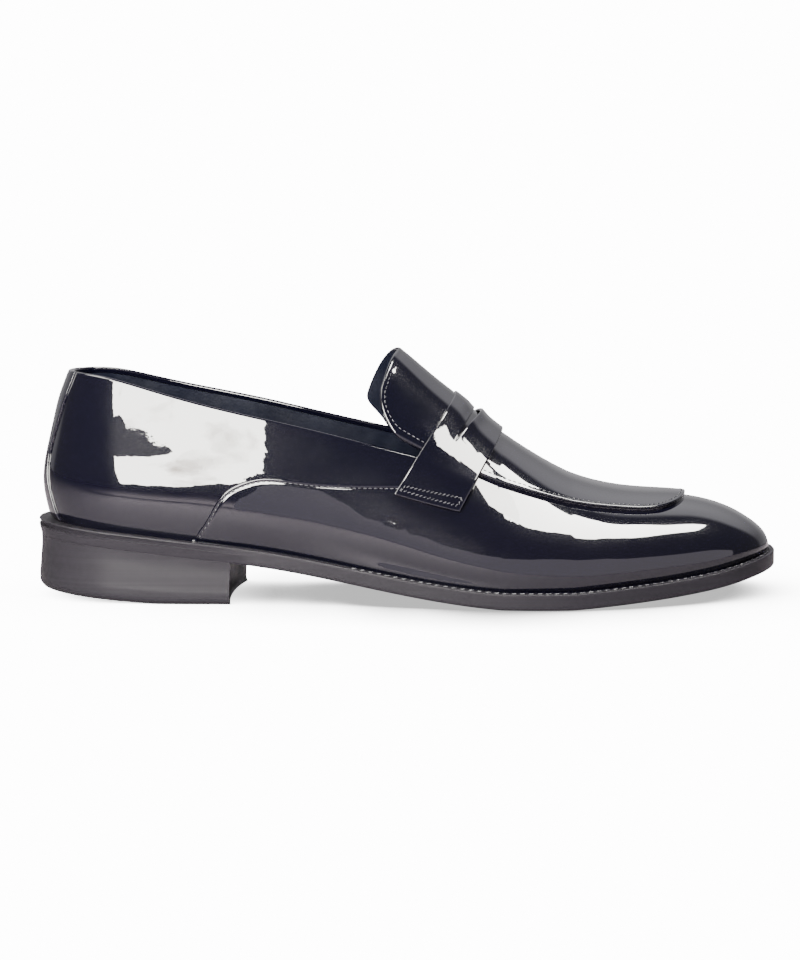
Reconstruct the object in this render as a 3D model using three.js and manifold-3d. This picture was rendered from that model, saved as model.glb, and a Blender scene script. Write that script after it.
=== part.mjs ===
// Patent slip-on shoe for the right foot: a loafer with a raised apron, a tongue and a saddle strap.
// Lengths are millimetres. X runs from the heel back to the toe, Y from the outer side to the inner
// side of the foot, and Z up from the floor. The shoe stands empty on its heel and forefoot.

import * as THREE from 'three';
import Module from 'manifold-3d';

const wasm = await Module();
wasm.setup();

// Driving sizes of the sole
const shoeLength = 300;
const ballWidth = 103;
const seatHeight = 25.4; // underside of the outsole above the floor at the heel back
const toeSpring = 11.4; // underside of the outsole above the floor at the toe tip
const outsoleThickness = 3.8;
const weltThickness = 2.3;
const weltWidth = 11;
const soleEdgeRound = 0.9;
const heelLength = 80.5;
const heelBackRise = 4.4; // lift of the heel's bottom at its rounded back
const heelBackRiseLength = 50;
const heelWaist = 0.9; // how far the heel's side draws in under the outsole
const breastHollow = 2.4;
const breastSkew = 3.6; // the inner corner of the breast stands this much further forward

// Driving sizes of the upper
const instepHeight = 86; // ridge above the welt under the tongue's top
const quarterHeight = 60; // collar above the welt at the heel back
const featherMargin = 3.6; // welt that shows outside the upper
const upperWall = 1.8;
const vampStep = 0.9; // the vamp's wings lie this much proud of the quarters
const apronThickness = 1.7;
const strapThickness = 1.4;
const backstayThickness = 0.9;
const backstayWidth = 32;
const insoleThickness = 2.2;
const insoleClearance = 0.6;
const joint = 0.3; // clearance between pieces that touch
const overlayGap = 0.4; // clearance under a curved overlay

// Smoothness of the faceted surfaces
const stationCount = 44;
const sectionRows = 13;
const innerStationCount = 36;
const innerSectionRows = 10;
const normalStep = 0.02;
const weldGrid = 1e-4;

// Natural cubic spline through (place, value) pairs
function spline(places, values) {
  const count = places.length;
  const bend = new Array(count).fill(0);
  const upper = new Array(count).fill(0);
  for (let i = 1; i < count - 1; i += 1) {
    const before = places[i] - places[i - 1];
    const after = places[i + 1] - places[i];
    const change = (values[i + 1] - values[i]) / after - (values[i] - values[i - 1]) / before;
    const pivot = 2 * (before + after) - before * upper[i - 1];
    upper[i] = after / pivot;
    bend[i] = (6 * change - before * bend[i - 1]) / pivot;
  }
  for (let i = count - 2; i > 0; i -= 1) {
    bend[i] -= upper[i] * bend[i + 1];
  }
  return (place) => {
    let i = 0;
    while (i < count - 2 && place > places[i + 1]) {
      i += 1;
    }
    const span = places[i + 1] - places[i];
    const a = (places[i + 1] - place) / span;
    const b = (place - places[i]) / span;
    const sag = ((a ** 3 - a) * bend[i] + (b ** 3 - b) * bend[i + 1]) * span * span / 6;
    return a * values[i] + b * values[i + 1] + sag;
  };
}

// A table's first column is the place; each other column becomes a smooth function of it
function table(names, rows) {
  const places = rows.map((row) => row[0]);
  const columns = {};
  names.slice(1).forEach((name, index) => {
    columns[name] = spline(places, rows.map((row) => row[index + 1]));
  });
  return columns;
}

// Plan of the sole: places are shares of the shoe's length, widths are shares of the ball's width
const plan = table(
  ['along', 'lateral', 'medial', 'spine'],
  [
    [0.000, 0.320, 0.320, -0.010],
    [0.100, 0.325, 0.325, -0.010],
    [0.200, 0.335, 0.325, -0.010],
    [0.300, 0.345, 0.301, -0.005],
    [0.400, 0.379, 0.282, 0.005],
    [0.500, 0.447, 0.311, 0.019],
    [0.600, 0.524, 0.388, 0.039],
    [0.683, 0.558, 0.442, 0.053],
    [0.767, 0.529, 0.442, 0.063],
    [0.850, 0.451, 0.393, 0.068],
    [0.933, 0.354, 0.320, 0.068],
    [1.000, 0.262, 0.252, 0.068],
  ],
);
const heelEnd = { length: 0.113, power: 2.2 };
const toeEnd = { length: 0.100, power: 2.7 };

// Side view of the sole's underside: shares of the seat height and of the toe spring
const underside = table(
  ['along', 'heel', 'toe'],
  [
    [0.000, 1.000, 0.000],
    [0.100, 0.878, 0.000],
    [0.200, 0.740, 0.000],
    [0.300, 0.598, 0.000],
    [0.400, 0.394, 0.000],
    [0.500, 0.175, 0.000],
    [0.600, 0.030, -0.020],
    [0.660, 0.000, -0.040],
    [0.710, 0.000, -0.010],
    [0.750, 0.000, 0.060],
    [0.800, 0.000, 0.160],
    [0.900, 0.000, 0.460],
    [1.000, 0.000, 1.000],
  ],
);

// Last: ridge height above the welt as a share of the instep height
const ridge = table(
  ['along', 'above'],
  [
    [0.000, 1.090],
    [0.133, 1.160],
    [0.267, 1.225],
    [0.367, 1.195],
    [0.433, 1.105],
    [0.487, 0.997],
    [0.533, 0.880],
    [0.577, 0.779],
    [0.620, 0.673],
    [0.663, 0.572],
    [0.707, 0.484],
    [0.750, 0.420],
    [0.800, 0.374],
    [0.853, 0.345],
    [0.900, 0.314],
    [0.947, 0.260],
    [1.000, 0.160],
  ],
);

// Last sections: powers of the section's curve, its bulge as a share of the ball's width, the height
// of the fullest point as a share of the section, and the welt margin as a share of its named size
const section = table(
  ['along', 'across', 'up', 'bulge', 'fullest', 'margin'],
  [
    [0.000, 2.0, 1.9, 0.030, 0.20, 1.28],
    [0.200, 2.2, 1.9, 0.021, 0.20, 0.94],
    [0.367, 2.1, 1.8, 0.021, 0.22, 0.78],
    [0.500, 2.0, 1.6, 0.031, 0.25, 0.89],
    [0.633, 2.1, 1.6, 0.033, 0.30, 1.04],
    [0.767, 2.5, 1.9, 0.023, 0.35, 1.05],
    [0.900, 2.6, 2.1, 0.012, 0.35, 0.98],
    [1.000, 2.6, 2.2, 0.005, 0.35, 0.92],
  ],
);

// The sections fan out at the ends around these two places on the centre line
const fanBack = 0.147 * shoeLength;
const fanFront = 0.833 * shoeLength;
const fanBlend = 0.075 * shoeLength;

// Collar line: height above the welt as a share of the quarter height, on the outer and inner side
const collar = table(
  ['along', 'lateral', 'medial'],
  [
    [0.000, 0.992, 0.992],
    [0.067, 1.008, 1.018],
    [0.167, 0.957, 0.990],
    [0.283, 0.883, 0.945],
    [0.400, 0.853, 0.914],
    [0.507, 0.828, 0.893],
    [0.567, 0.810, 0.860],
  ],
);
const throatStart = 0.517 * shoeLength;
const throatLean = 1.0; // the throat's edge leans forward this much for each millimetre of height
const collarSplit = 30; // the two collar lines hold at this distance to each side

// Front edge of the quarter, where the vamp's wing laps over it: height above the welt as a share
// of the quarter height
const wingEdge = [
  { along: 0.207, above: -0.10 },
  { along: 0.214, above: 0.05 },
  { along: 0.227, above: 0.153 },
  { along: 0.239, above: 0.268 },
  { along: 0.255, above: 0.367 },
  { along: 0.279, above: 0.440 },
  { along: 0.301, above: 0.480 },
  { along: 0.323, above: 0.495 },
  { along: 0.372, above: 0.515 },
  { along: 0.481, above: 0.610 },
  { along: 0.560, above: 0.700 },
  { along: 0.600, above: 0.790 },
];

// Apron and tongue in plan: ridge place, set-back of the side edges and half widths, as shares of
// the shoe's length and the ball's width
const apron = table(
  ['row', 'ridge', 'lateralBack', 'lateralWidth', 'medialBack', 'medialWidth'],
  [
    [0.00, 0.4835, 0.0210, 0.222, 0.0385, 0.170],
    [0.04, 0.4880, 0.0246, 0.250, 0.0442, 0.181],
    [0.10, 0.5040, 0.0270, 0.285, 0.0442, 0.193],
    [0.16, 0.5210, 0.0292, 0.297, 0.0460, 0.208],
    [0.24, 0.5450, 0.0319, 0.304, 0.0430, 0.235],
    [0.42, 0.6233, 0.0283, 0.327, 0.0300, 0.290],
    [0.58, 0.6900, 0.0247, 0.332, 0.0247, 0.300],
    [0.78, 0.7733, 0.0163, 0.299, 0.0163, 0.285],
    [0.90, 0.8330, 0.0060, 0.264, 0.0060, 0.264],
    [1.00, 0.8780, 0.0000, 0.255, 0.0000, 0.255],
  ],
);
const apronFront = { start: 0.810, power: 2.5, skew: 0.033 };
const tongueCurl = 1.5;

// Saddle strap: its rear and front edge, as ridge place in shares of the length, lean back for each
// millimetre of height, and height of its sewn end above the welt in shares of the instep height
const strapRear = { ridge: 0.5575, lean: 0.662, end: 0.378 };
const strapFront = { ridge: 0.6215, lean: 0.602, end: 0.347 };
const slotReach = 0.57; // half length of the slot as a share of the strap's half length
const slotWidth = 0.24; // widest opening as a share of the strap's width
const slotPlace = 0.46;
const slotBow = 0.07; // the slot's middle lies this much nearer the strap's front edge
const strapClimb = 5; // height over which the strap rises onto the apron
const strapClimbLead = 3.4;

// Helpers for shares and blends
function clamp(value, low, high) {
  return Math.min(Math.max(value, low), high);
}

function mix(low, high, share) {
  return low + (high - low) * share;
}

function smooth(share) {
  const t = clamp(share, 0, 1);
  return t * t * (3 - 2 * t);
}

function bisect(low, high, isBelow) {
  let a = low;
  let b = high;
  for (let step = 0; step < 44; step += 1) {
    const middle = (a + b) / 2;
    if (isBelow(middle)) {
      a = middle;
    } else {
      b = middle;
    }
  }
  return (a + b) / 2;
}

// Sole
function roundEnds(share) {
  const back = clamp(1 - share / heelEnd.length, 0, 1);
  const front = clamp(1 - (1 - share) / toeEnd.length, 0, 1);
  const rear = Math.max(1 - back ** heelEnd.power, 0) ** (1 / heelEnd.power);
  return rear * Math.max(1 - front ** toeEnd.power, 0) ** (1 / toeEnd.power);
}

function spineAt(x) {
  return plan.spine(x / shoeLength) * ballWidth;
}

function halfWidth(x, side) {
  const share = x / shoeLength;
  return (side < 0 ? plan.lateral(share) : plan.medial(share)) * ballWidth;
}

function outlineAt(x, side, inset) {
  const width = (halfWidth(x, side) - inset) * roundEnds(x / shoeLength);
  return { x: inset + x * (1 - 2 * inset / shoeLength), y: spineAt(x) + side * width };
}

function soleUnder(x) {
  const share = x / shoeLength;
  return Math.max(underside.heel(share) * seatHeight + underside.toe(share) * toeSpring, 0);
}

function soleTop(x) {
  return soleUnder(x) + outsoleThickness + joint + weltThickness;
}

function waistInset(x) {
  return heelWaist * smooth((0.3 - x / shoeLength) / 0.15);
}

// Last: the outer surface of the vamp, by station, side and angle from feather line to ridge
function fanCentre(x) {
  const back = clamp((x - fanBack + fanBlend) / (2 * fanBlend), 0, 1);
  const front = clamp((x - fanFront + fanBlend) / (2 * fanBlend), 0, 1);
  const rise = (t) => t ** 3 - t ** 4 / 2;
  if (x < (fanBack + fanFront) / 2) {
    return x > fanBack + fanBlend ? x : fanBack + 2 * fanBlend * rise(back);
  }
  const lead = fanFront - fanBlend;
  return x < lead ? x : lead + 2 * fanBlend * (front - rise(front));
}

function ridgeHeight(x) {
  return soleTop(x) + ridge.above(x / shoeLength) * instepHeight;
}

function lastSection(x, side) {
  const share = x / shoeLength;
  const foot = outlineAt(x, side, section.margin(share) * featherMargin);
  const centre = fanCentre(x);
  const share2 = foot.x / shoeLength;
  return {
    foot,
    centre: { x: centre, y: spineAt(centre) },
    base: soleTop(foot.x) + joint,
    across: 2 / section.across(share2),
    up: 2 / section.up(share2),
    bulge: section.bulge(share2) * ballWidth,
    fullest: section.fullest(share2),
  };
}

function reachAt(part, angle) {
  const height = Math.sin(angle) ** part.up;
  const level = height / part.fullest;
  const span = Math.hypot(part.foot.x - part.centre.x, part.foot.y - part.centre.y);
  const swell = part.bulge * level * Math.exp((1 - level * level) / 2) * Math.sqrt(Math.max(1 - height, 0));
  return Math.max(Math.cos(angle), 0) ** part.across + swell / Math.max(span, 1e-6);
}

function lastPoint(x, side, angle) {
  const part = lastSection(x, side);
  const reach = reachAt(part, angle);
  const px = mix(part.centre.x, part.foot.x, reach);
  const py = mix(part.centre.y, part.foot.y, reach);
  const height = Math.sin(angle) ** part.up;
  return new THREE.Vector3(px, py, mix(part.base, ridgeHeight(px), height));
}

const rightAngle = Math.PI / 2;

function sideNormal(x, side, angle) {
  const back = clamp(x - normalStep, 0, shoeLength);
  const front = clamp(x + normalStep, 0, shoeLength);
  const low = clamp(angle - normalStep / 10, 0, rightAngle);
  const high = clamp(angle + normalStep / 10, 0, rightAngle);
  const along = lastPoint(front, side, angle).sub(lastPoint(back, side, angle));
  const upward = lastPoint(x, side, high).sub(lastPoint(x, side, low));
  return along.cross(upward).multiplyScalar(-side).normalize();
}

function lastNormal(x, side, angle) {
  if (angle > rightAngle - 1e-6) {
    const centre = fanCentre(x);
    const slope = (ridgeHeight(centre + 1) - ridgeHeight(centre - 1)) / 2;
    return new THREE.Vector3(-slope, 0, 1).normalize();
  }
  if (x < 1e-6 || x > shoeLength - 1e-6) {
    return sideNormal(x, 1, angle).add(sideNormal(x, -1, angle)).normalize();
  }
  return sideNormal(x, side, angle);
}

function raised(x, side, angle, offset) {
  return lastPoint(x, side, angle).addScaledVector(lastNormal(x, side, angle), offset);
}

function angleAtHeight(x, side, height) {
  return bisect(0, rightAngle, (angle) => lastPoint(x, side, angle).z < height);
}

// The same surface by its place in plan
function raisedInPlan(px, py, offset) {
  const side = py < spineAt(fanCentre(px)) ? -1 : 1;
  const x = bisect(0, shoeLength, (station) => {
    const part = lastSection(station, side);
    const across = (px - part.centre.x) * (part.foot.y - part.centre.y);
    return side * (across - (py - part.centre.y) * (part.foot.x - part.centre.x)) > 0;
  });
  const part = lastSection(x, side);
  const span = Math.hypot(part.foot.x - part.centre.x, part.foot.y - part.centre.y);
  const reach = Math.hypot(px - part.centre.x, py - part.centre.y) / span;
  const angle = reach < 1e-3 ? rightAngle : bisect(0.2, rightAngle, (a) => reachAt(part, a) > reach);
  return raised(x, side, angle, offset);
}

// Collects faces, welding the corners that meet
class Skin {
  constructor() {
    this.points = [];
    this.index = new Map();
    this.faces = [];
  }

  corner(point) {
    const key = [point.x, point.y, point.z].map((value) => Math.round(value / weldGrid)).join();
    if (!this.index.has(key)) {
      this.index.set(key, this.points.length);
      this.points.push(point);
    }
    return this.index.get(key);
  }

  face(a, b, c) {
    const corners = [this.corner(a), this.corner(b), this.corner(c)];
    if (new Set(corners).size === 3) {
      this.faces.push(corners);
    }
  }

  quad(a, b, c, d) {
    this.face(a, b, c);
    this.face(a, c, d);
  }

  strips(rows, closed) {
    for (let i = 0; i < rows.length - 1; i += 1) {
      const count = rows[i].length;
      for (let j = 0; j < (closed ? count : count - 1); j += 1) {
        const next = (j + 1) % count;
        this.quad(rows[i][j], rows[i + 1][j], rows[i + 1][next], rows[i][next]);
      }
    }
  }

  volume() {
    let sum = 0;
    this.faces.forEach(([a, b, c]) => {
      const turned = new THREE.Vector3().crossVectors(this.points[b], this.points[c]);
      sum += this.points[a].dot(turned);
    });
    return sum / 6;
  }

  geometry() {
    const inward = this.volume() < 0;
    const used = this.faces.map(([a, b, c]) => (inward ? [a, c, b] : [a, b, c]));
    const result = new THREE.BufferGeometry();
    const flat = this.points.flatMap((point) => [point.x, point.y, point.z]);
    result.setAttribute('position', new THREE.Float32BufferAttribute(flat, 3));
    result.setIndex(used.flat());
    return result;
  }

  solid() {
    const made = this.geometry();
    return new wasm.Manifold(new wasm.Mesh({
      numProp: 3,
      vertProperties: new Float32Array(made.attributes.position.array),
      triVerts: new Uint32Array(made.index.array),
    }));
  }
}

function solidGeometry(solid) {
  const mesh = solid.getMesh();
  const result = new THREE.BufferGeometry();
  result.setAttribute('position', new THREE.BufferAttribute(new Float32Array(mesh.vertProperties), 3));
  result.setIndex(new THREE.BufferAttribute(new Uint32Array(mesh.triVerts), 1));
  return result;
}

// Stations crowd together at both round ends
function stations(count) {
  return Array.from({ length: count + 1 }, (_, i) => (1 - Math.cos(Math.PI * i / count)) / 2 * shoeLength);
}

function aroundLast(count) {
  const places = stations(count);
  const lateral = places.map((x) => ({ x, side: -1 }));
  const medial = places.slice(1, -1).reverse().map((x) => ({ x, side: 1 }));
  return [...lateral, ...medial];
}

// A whole last, closed at the ridge and underneath; drop lengthens it downwards
function lastSolid(offset, count, rowCount, drop) {
  const loop = aroundLast(count);
  const rows = [];
  for (let row = 0; row <= rowCount; row += 1) {
    rows.push(loop.map(({ x, side }) => raised(x, side, rightAngle * row / rowCount, offset)));
  }
  if (drop > 0) {
    rows.unshift(rows[0].map((point) => point.clone().setZ(point.z - drop)));
  }
  const skin = new Skin();
  skin.strips(rows, true);
  const foot = rows[0];
  for (let i = 0; i < count; i += 1) {
    const across = (k) => foot[(loop.length - k) % loop.length];
    skin.quad(foot[i], foot[i + 1], across(i + 1), across(i));
  }
  return skin.solid();
}

// A prism across the shoe between two side views with the same number of points
function crossPrism(lateralView, medialView) {
  const reach = ballWidth;
  const near = lateralView.map(([x, z]) => new THREE.Vector3(x, -reach, z));
  const far = medialView.map(([x, z]) => new THREE.Vector3(x, reach, z));
  const skin = new Skin();
  skin.strips([near, far], true);
  const contour = lateralView.map(([x, z]) => new THREE.Vector2(x, z));
  THREE.ShapeUtils.triangulateShape(contour, []).forEach(([a, b, c]) => {
    const flip = THREE.ShapeUtils.isClockWise(contour);
    skin.face(near[a], flip ? near[c] : near[b], flip ? near[b] : near[c]);
    skin.face(far[a], flip ? far[b] : far[c], flip ? far[c] : far[b]);
  });
  return skin.solid();
}

const skyHeight = 2 * instepHeight;
const collarSteps = 26;

function collarHeight(x, side) {
  const share = x / shoeLength;
  return soleTop(x) + (side < 0 ? collar.lateral(share) : collar.medial(share)) * quarterHeight;
}

function openingCutter() {
  const views = [-1, 1].map((end) => {
    const outer = [];
    for (let i = 0; i <= collarSteps; i += 1) {
      const x = throatStart * i / collarSteps;
      const lateral = collarHeight(x, -1);
      const medial = collarHeight(x, 1);
      const share = (end * ballWidth + collarSplit) / (2 * collarSplit);
      outer.push([x, mix(lateral, medial, share)]);
    }
    const last = outer[outer.length - 1];
    const climb = skyHeight - last[1];
    outer.unshift([-featherMargin * 3, outer[0][1]]);
    outer.push([throatStart + climb * throatLean, skyHeight]);
    outer.push([-featherMargin * 3, skyHeight]);
    return outer;
  });
  return crossPrism(views[0], views[1]);
}

function wingPrism() {
  const marks = wingEdge.map(({ along, above }) => {
    const x = along * shoeLength;
    return new THREE.Vector2(x, soleTop(x) + above * quarterHeight);
  });
  const edge = new THREE.SplineCurve(marks).getPoints(36).map((point) => [point.x, point.y]);
  const first = edge[0];
  const last = edge[edge.length - 1];
  const view = [
    ...edge,
    [last[0] + 1, skyHeight],
    [shoeLength * 1.1, skyHeight],
    [shoeLength * 1.1, -seatHeight],
    [first[0] - 1, -seatHeight],
  ];
  return crossPrism(view, view);
}

// Upper: one hollow wall, open at the collar and throat and underneath
function upperGeometry() {
  const quarters = lastSolid(-vampStep, stationCount, sectionRows, 0);
  const vamp = lastSolid(0, stationCount, sectionRows, 0).intersect(wingPrism());
  const inside = lastSolid(-vampStep - upperWall, innerStationCount, innerSectionRows, quarterHeight / 2);
  return solidGeometry(quarters.add(vamp).subtract(inside).subtract(openingCutter()));
}

// A thick sheet from two grids of points, with an optional slit along one row
function sheetFaces(skin, top, under, walls) {
  const last = top.length - 1;
  const end = top[0].length - 1;
  skin.strips(top, false);
  skin.strips([...under].reverse(), false);
  if (walls.first) {
    skin.strips([under[0], top[0]], false);
  }
  if (walls.last) {
    skin.strips([top[last], under[last]], false);
  }
  const column = (grid, j) => grid.map((row) => row[j]);
  skin.strips([column(top, 0), column(under, 0)], false);
  skin.strips([column(under, end), column(top, end)], false);
}

// Apron and tongue: one leather piece over the vamp, free behind the throat
const apronRows = 27;
const apronColumns = 24;

function apronPlan(row, across) {
  const side = across < 0 ? -1 : 1;
  const t = Math.abs(across);
  const centre = apron.ridge(row);
  const back = side < 0 ? apron.lateralBack(row) : apron.medialBack(row);
  const width = side < 0 ? apron.lateralWidth(row) : apron.medialWidth(row);
  const front = clamp((centre - apronFront.start) / (apron.ridge(1) - apronFront.start), 0, 1);
  const round = Math.max(1 - front ** apronFront.power, 0) ** (1 / apronFront.power);
  const reach = side * width * round * t;
  const x = (centre - back * t ** tongueCurl + apronFront.skew * front * reach) * shoeLength;
  return { x, y: spineAt(fanCentre(x)) + reach * ballWidth };
}

function apronGeometry() {
  const grids = [overlayGap + apronThickness, overlayGap].map((offset) => {
    const grid = [];
    for (let i = 0; i <= apronRows; i += 1) {
      const row = Math.sin(rightAngle * i / apronRows) ** 1.15;
      const line = [];
      for (let j = -apronColumns / 2; j <= apronColumns / 2; j += 1) {
        const place = apronPlan(row, j / (apronColumns / 2));
        line.push(raisedInPlan(place.x, place.y, offset));
      }
      grid.push(line);
    }
    return grid;
  });
  const skin = new Skin();
  sheetFaces(skin, grids[0], grids[1], { first: true, last: false });
  return skin.geometry();
}

// Height of the apron's edge where it passes a place on the side
function apronEdgeHeight(x, side) {
  const row = bisect(0.1, 1, (r) => apronPlan(r, side).x < x);
  const place = apronPlan(row, side);
  return raisedInPlan(place.x, place.y, 0).z;
}

// Saddle strap: it lies on the vamp at its sewn ends and climbs over the apron
const strapColumns = 40;
const strapRows = 3;

function strapPoint(share, across, height) {
  const side = across < 0 ? -1 : 1;
  const ridgeX = mix(strapRear.ridge, strapFront.ridge, share) * shoeLength;
  const lean = mix(strapRear.lean, strapFront.lean, share);
  const endAbove = mix(strapRear.end, strapFront.end, share) * instepHeight;
  const top = ridgeHeight(ridgeX);
  let endX = ridgeX;
  for (let step = 0; step < 20; step += 1) {
    endX = ridgeX - lean * (top - soleTop(endX) - endAbove);
  }
  const endAngle = angleAtHeight(endX, side, soleTop(endX) + endAbove);
  const angle = mix(rightAngle, endAngle, Math.abs(across));
  let x = ridgeX;
  for (let step = 0; step < 30; step += 1) {
    x = (x + ridgeX - lean * (top - lastPoint(x, side, angle).z)) / 2;
  }
  const edge = apronEdgeHeight(x, side) - strapClimbLead;
  const climb = smooth((lastPoint(x, side, angle).z - edge + strapClimb) / strapClimb);
  return raised(x, side, angle, overlayGap + height + climb * (overlayGap + apronThickness));
}

function strapGeometry() {
  const skin = new Skin();
  const columns = [];
  for (let j = -strapColumns / 2; j <= strapColumns / 2; j += 1) {
    columns.push(j / (strapColumns / 2));
  }
  const slotHalf = (across) => {
    const t = Math.abs(across) / slotReach;
    return t >= 1 ? 0 : slotWidth / 2 * (1 - t ** 1.6);
  };
  const grid = (from, to, height) => {
    const rows = [];
    for (let i = 0; i <= strapRows; i += 1) {
      rows.push(columns.map((across) => {
        const share = mix(from(across), to(across), i / strapRows);
        return strapPoint(share, across, height);
      }));
    }
    return rows;
  };
  const slotMiddle = (across) => slotPlace + slotBow * smooth(1 - Math.abs(across) / slotReach);
  const slitRear = (across) => slotMiddle(across) - slotHalf(across);
  const slitFront = (across) => slotMiddle(across) + slotHalf(across);
  sheetFaces(
    skin,
    grid(() => 0, slitRear, strapThickness),
    grid(() => 0, slitRear, 0),
    { first: true, last: false },
  );
  sheetFaces(
    skin,
    grid(slitFront, () => 1, strapThickness),
    grid(slitFront, () => 1, 0),
    { first: false, last: true },
  );
  const open = columns.filter((across) => slotHalf(across) > 0);
  const first = columns.indexOf(open[0]) - 1;
  const slit = columns.slice(first, first + open.length + 2);
  const wall = (edge, height) => slit.map((across) => strapPoint(edge(across), across, height));
  skin.strips([wall(slitRear, strapThickness), wall(slitRear, 0)], false);
  skin.strips([wall(slitFront, 0), wall(slitFront, strapThickness)], false);
  return skin.geometry();
}

// Backstay: a strip up the heel's back seam
const backstayRows = 13;
const backstayColumns = 6;

function backstayGeometry() {
  const under = overlayGap - vampStep;
  const grids = [under + backstayThickness, under].map((offset) => {
    const grid = [];
    for (let i = 0; i <= backstayRows; i += 1) {
      const line = [];
      for (let j = -backstayColumns / 2; j <= backstayColumns / 2; j += 1) {
        const across = j / (backstayColumns / 2);
        const side = across < 0 ? -1 : 1;
        const half = Math.abs(across) * backstayWidth / 2 / (plan.lateral(0) * ballWidth);
        const rest = (1 - half ** heelEnd.power) ** (1 / heelEnd.power);
        const x = heelEnd.length * shoeLength * (1 - rest);
        const top = angleAtHeight(x, side, collarHeight(x, side) - joint);
        line.push(raised(x, side, mix(0.01, top, i / backstayRows), offset));
      }
      grid.push(line);
    }
    return grid;
  });
  const skin = new Skin();
  sheetFaces(skin, grids[0], grids[1], { first: true, last: true });
  return skin.geometry();
}

// Outsole: runs under the whole shoe, with an eased lower edge
function outsoleGeometry() {
  const rings = stations(stationCount + 4).map((x) => {
    const trim = waistInset(x);
    const point = (side, inset, above) => {
      const place = outlineAt(x, side, inset);
      return new THREE.Vector3(place.x, place.y, soleUnder(place.x) + above);
    };
    return [
      point(-1, trim + soleEdgeRound, 0),
      point(-1, trim, soleEdgeRound),
      point(-1, trim, outsoleThickness),
      point(1, trim, outsoleThickness),
      point(1, trim, soleEdgeRound),
      point(1, trim + soleEdgeRound, 0),
    ];
  });
  const skin = new Skin();
  skin.strips(rings, true);
  return skin.geometry();
}

// Welt: a flat strip all round between outsole and upper
function weltGeometry() {
  const rings = aroundLast(stationCount + 2).map(({ x, side }) => {
    const point = (inset, above) => {
      const place = outlineAt(x, side, inset);
      const low = soleUnder(place.x) + outsoleThickness + joint;
      return new THREE.Vector3(place.x, place.y, low + above);
    };
    const trim = waistInset(x);
    return [point(trim, 0), point(0, weltThickness), point(weltWidth, weltThickness), point(weltWidth, 0)];
  });
  const skin = new Skin();
  skin.strips([...rings, rings[0]], true);
  return skin.geometry();
}

// Heel: a block with a hollow breast, a drawn-in side and a rounded back that lifts off the floor
const heelSide = table(
  ['level', 'inset'],
  [
    [0.00, 1.50],
    [0.06, 0.40],
    [0.25, 0.00],
    [0.60, 0.70],
    [0.85, 1.10],
    [1.00, 1.00],
  ],
);
const heelLevels = [0, 0.06, 0.3, 0.65, 1];
const heelRows = 14;
const heelColumns = 8;

function heelGeometry() {
  const place = (row, across, level) => {
    const inset = heelSide.inset(level) * heelWaist;
    const side = across < 0 ? -1 : 1;
    const breast = heelLength + breastSkew * across / 2 - breastHollow * (1 - across * across);
    const x = (1 - Math.cos(rightAngle * row)) * breast;
    const edge = outlineAt(x, side, inset);
    const middle = spineAt(x);
    const rise = heelBackRise * clamp(1 - x / heelBackRiseLength, 0, 1) ** 1.15;
    const top = soleUnder(edge.x) - joint;
    return new THREE.Vector3(edge.x, mix(middle, edge.y, Math.abs(across)), mix(rise, top, level));
  };
  const rowPlaces = Array.from({ length: heelRows + 1 }, (_, i) => i / heelRows);
  const columnPlaces = Array.from({ length: heelColumns + 1 }, (_, j) => 2 * j / heelColumns - 1);
  const skin = new Skin();
  const layer = (level) => rowPlaces.map((row) => columnPlaces.map((across) => place(row, across, level)));
  skin.strips(layer(1), false);
  skin.strips(layer(0).reverse(), false);
  [-1, 1].forEach((across) => {
    const wall = heelLevels.map((level) => rowPlaces.map((row) => place(row, across, level)));
    skin.strips(across < 0 ? wall.reverse() : wall, false);
  });
  const breast = heelLevels.map((level) => columnPlaces.map((across) => place(1, across, level)));
  skin.strips(breast.reverse(), false);
  return skin.geometry();
}

// Insole: the board that the foot stands on, inside the upper's wall
function insoleGeometry() {
  const rings = stations(stationCount).map((x) => {
    const share = x / shoeLength;
    const wall = section.margin(share) * featherMargin + vampStep + upperWall;
    const place = (side, height) => {
      const edge = outlineAt(x, side, wall + insoleClearance);
      return new THREE.Vector3(edge.x, edge.y, soleTop(edge.x) + joint + height);
    };
    return [place(-1, 0), place(-1, insoleThickness), place(1, insoleThickness), place(1, 0)];
  });
  const skin = new Skin();
  skin.strips(rings, true);
  return skin.geometry();
}

// Finishes
const patent = new THREE.MeshStandardMaterial({ color: 0x0b0b10, roughness: 0.05, metalness: 0 });
const soleEdge = new THREE.MeshStandardMaterial({ color: 0x2a292e, roughness: 0.55, metalness: 0 });
const lining = new THREE.MeshStandardMaterial({ color: 0x1a1f2e, roughness: 0.6, metalness: 0 });

const pieces = [
  ['outsole', outsoleGeometry(), soleEdge],
  ['heel', heelGeometry(), soleEdge],
  ['welt', weltGeometry(), soleEdge],
  ['insole', insoleGeometry(), lining],
  ['upper', upperGeometry(), patent],
  ['apron_tongue', apronGeometry(), patent],
  ['saddle_strap', strapGeometry(), patent],
  ['backstay', backstayGeometry(), patent],
];

// The origin is under the middle of the shoe's box, on the floor
const shoe = new THREE.Group();
pieces.forEach(([name, geometry, finish]) => {
  const mesh = new THREE.Mesh(geometry, finish.clone());
  mesh.name = name;
  shoe.add(mesh);
});
const box = new THREE.Box3().setFromObject(shoe);
const middle = box.getCenter(new THREE.Vector3());
shoe.position.set(-middle.x, -middle.y, -box.min.z);

export default shoe;
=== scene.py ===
# %% [markdown]
# # A patent slip-on shoe
# This lesson dresses the plain solids of a black patent loafer with leather, edges, seams and thread.
# The solids come in as a fixed frame in metres: +X runs to the toe, +Y to the inner side, +Z up.
# Every surface here is computed from the same rules as the solids, only much finer, because a
# mirror finish shows each facet.

# %% Start from the frame
import math

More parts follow.
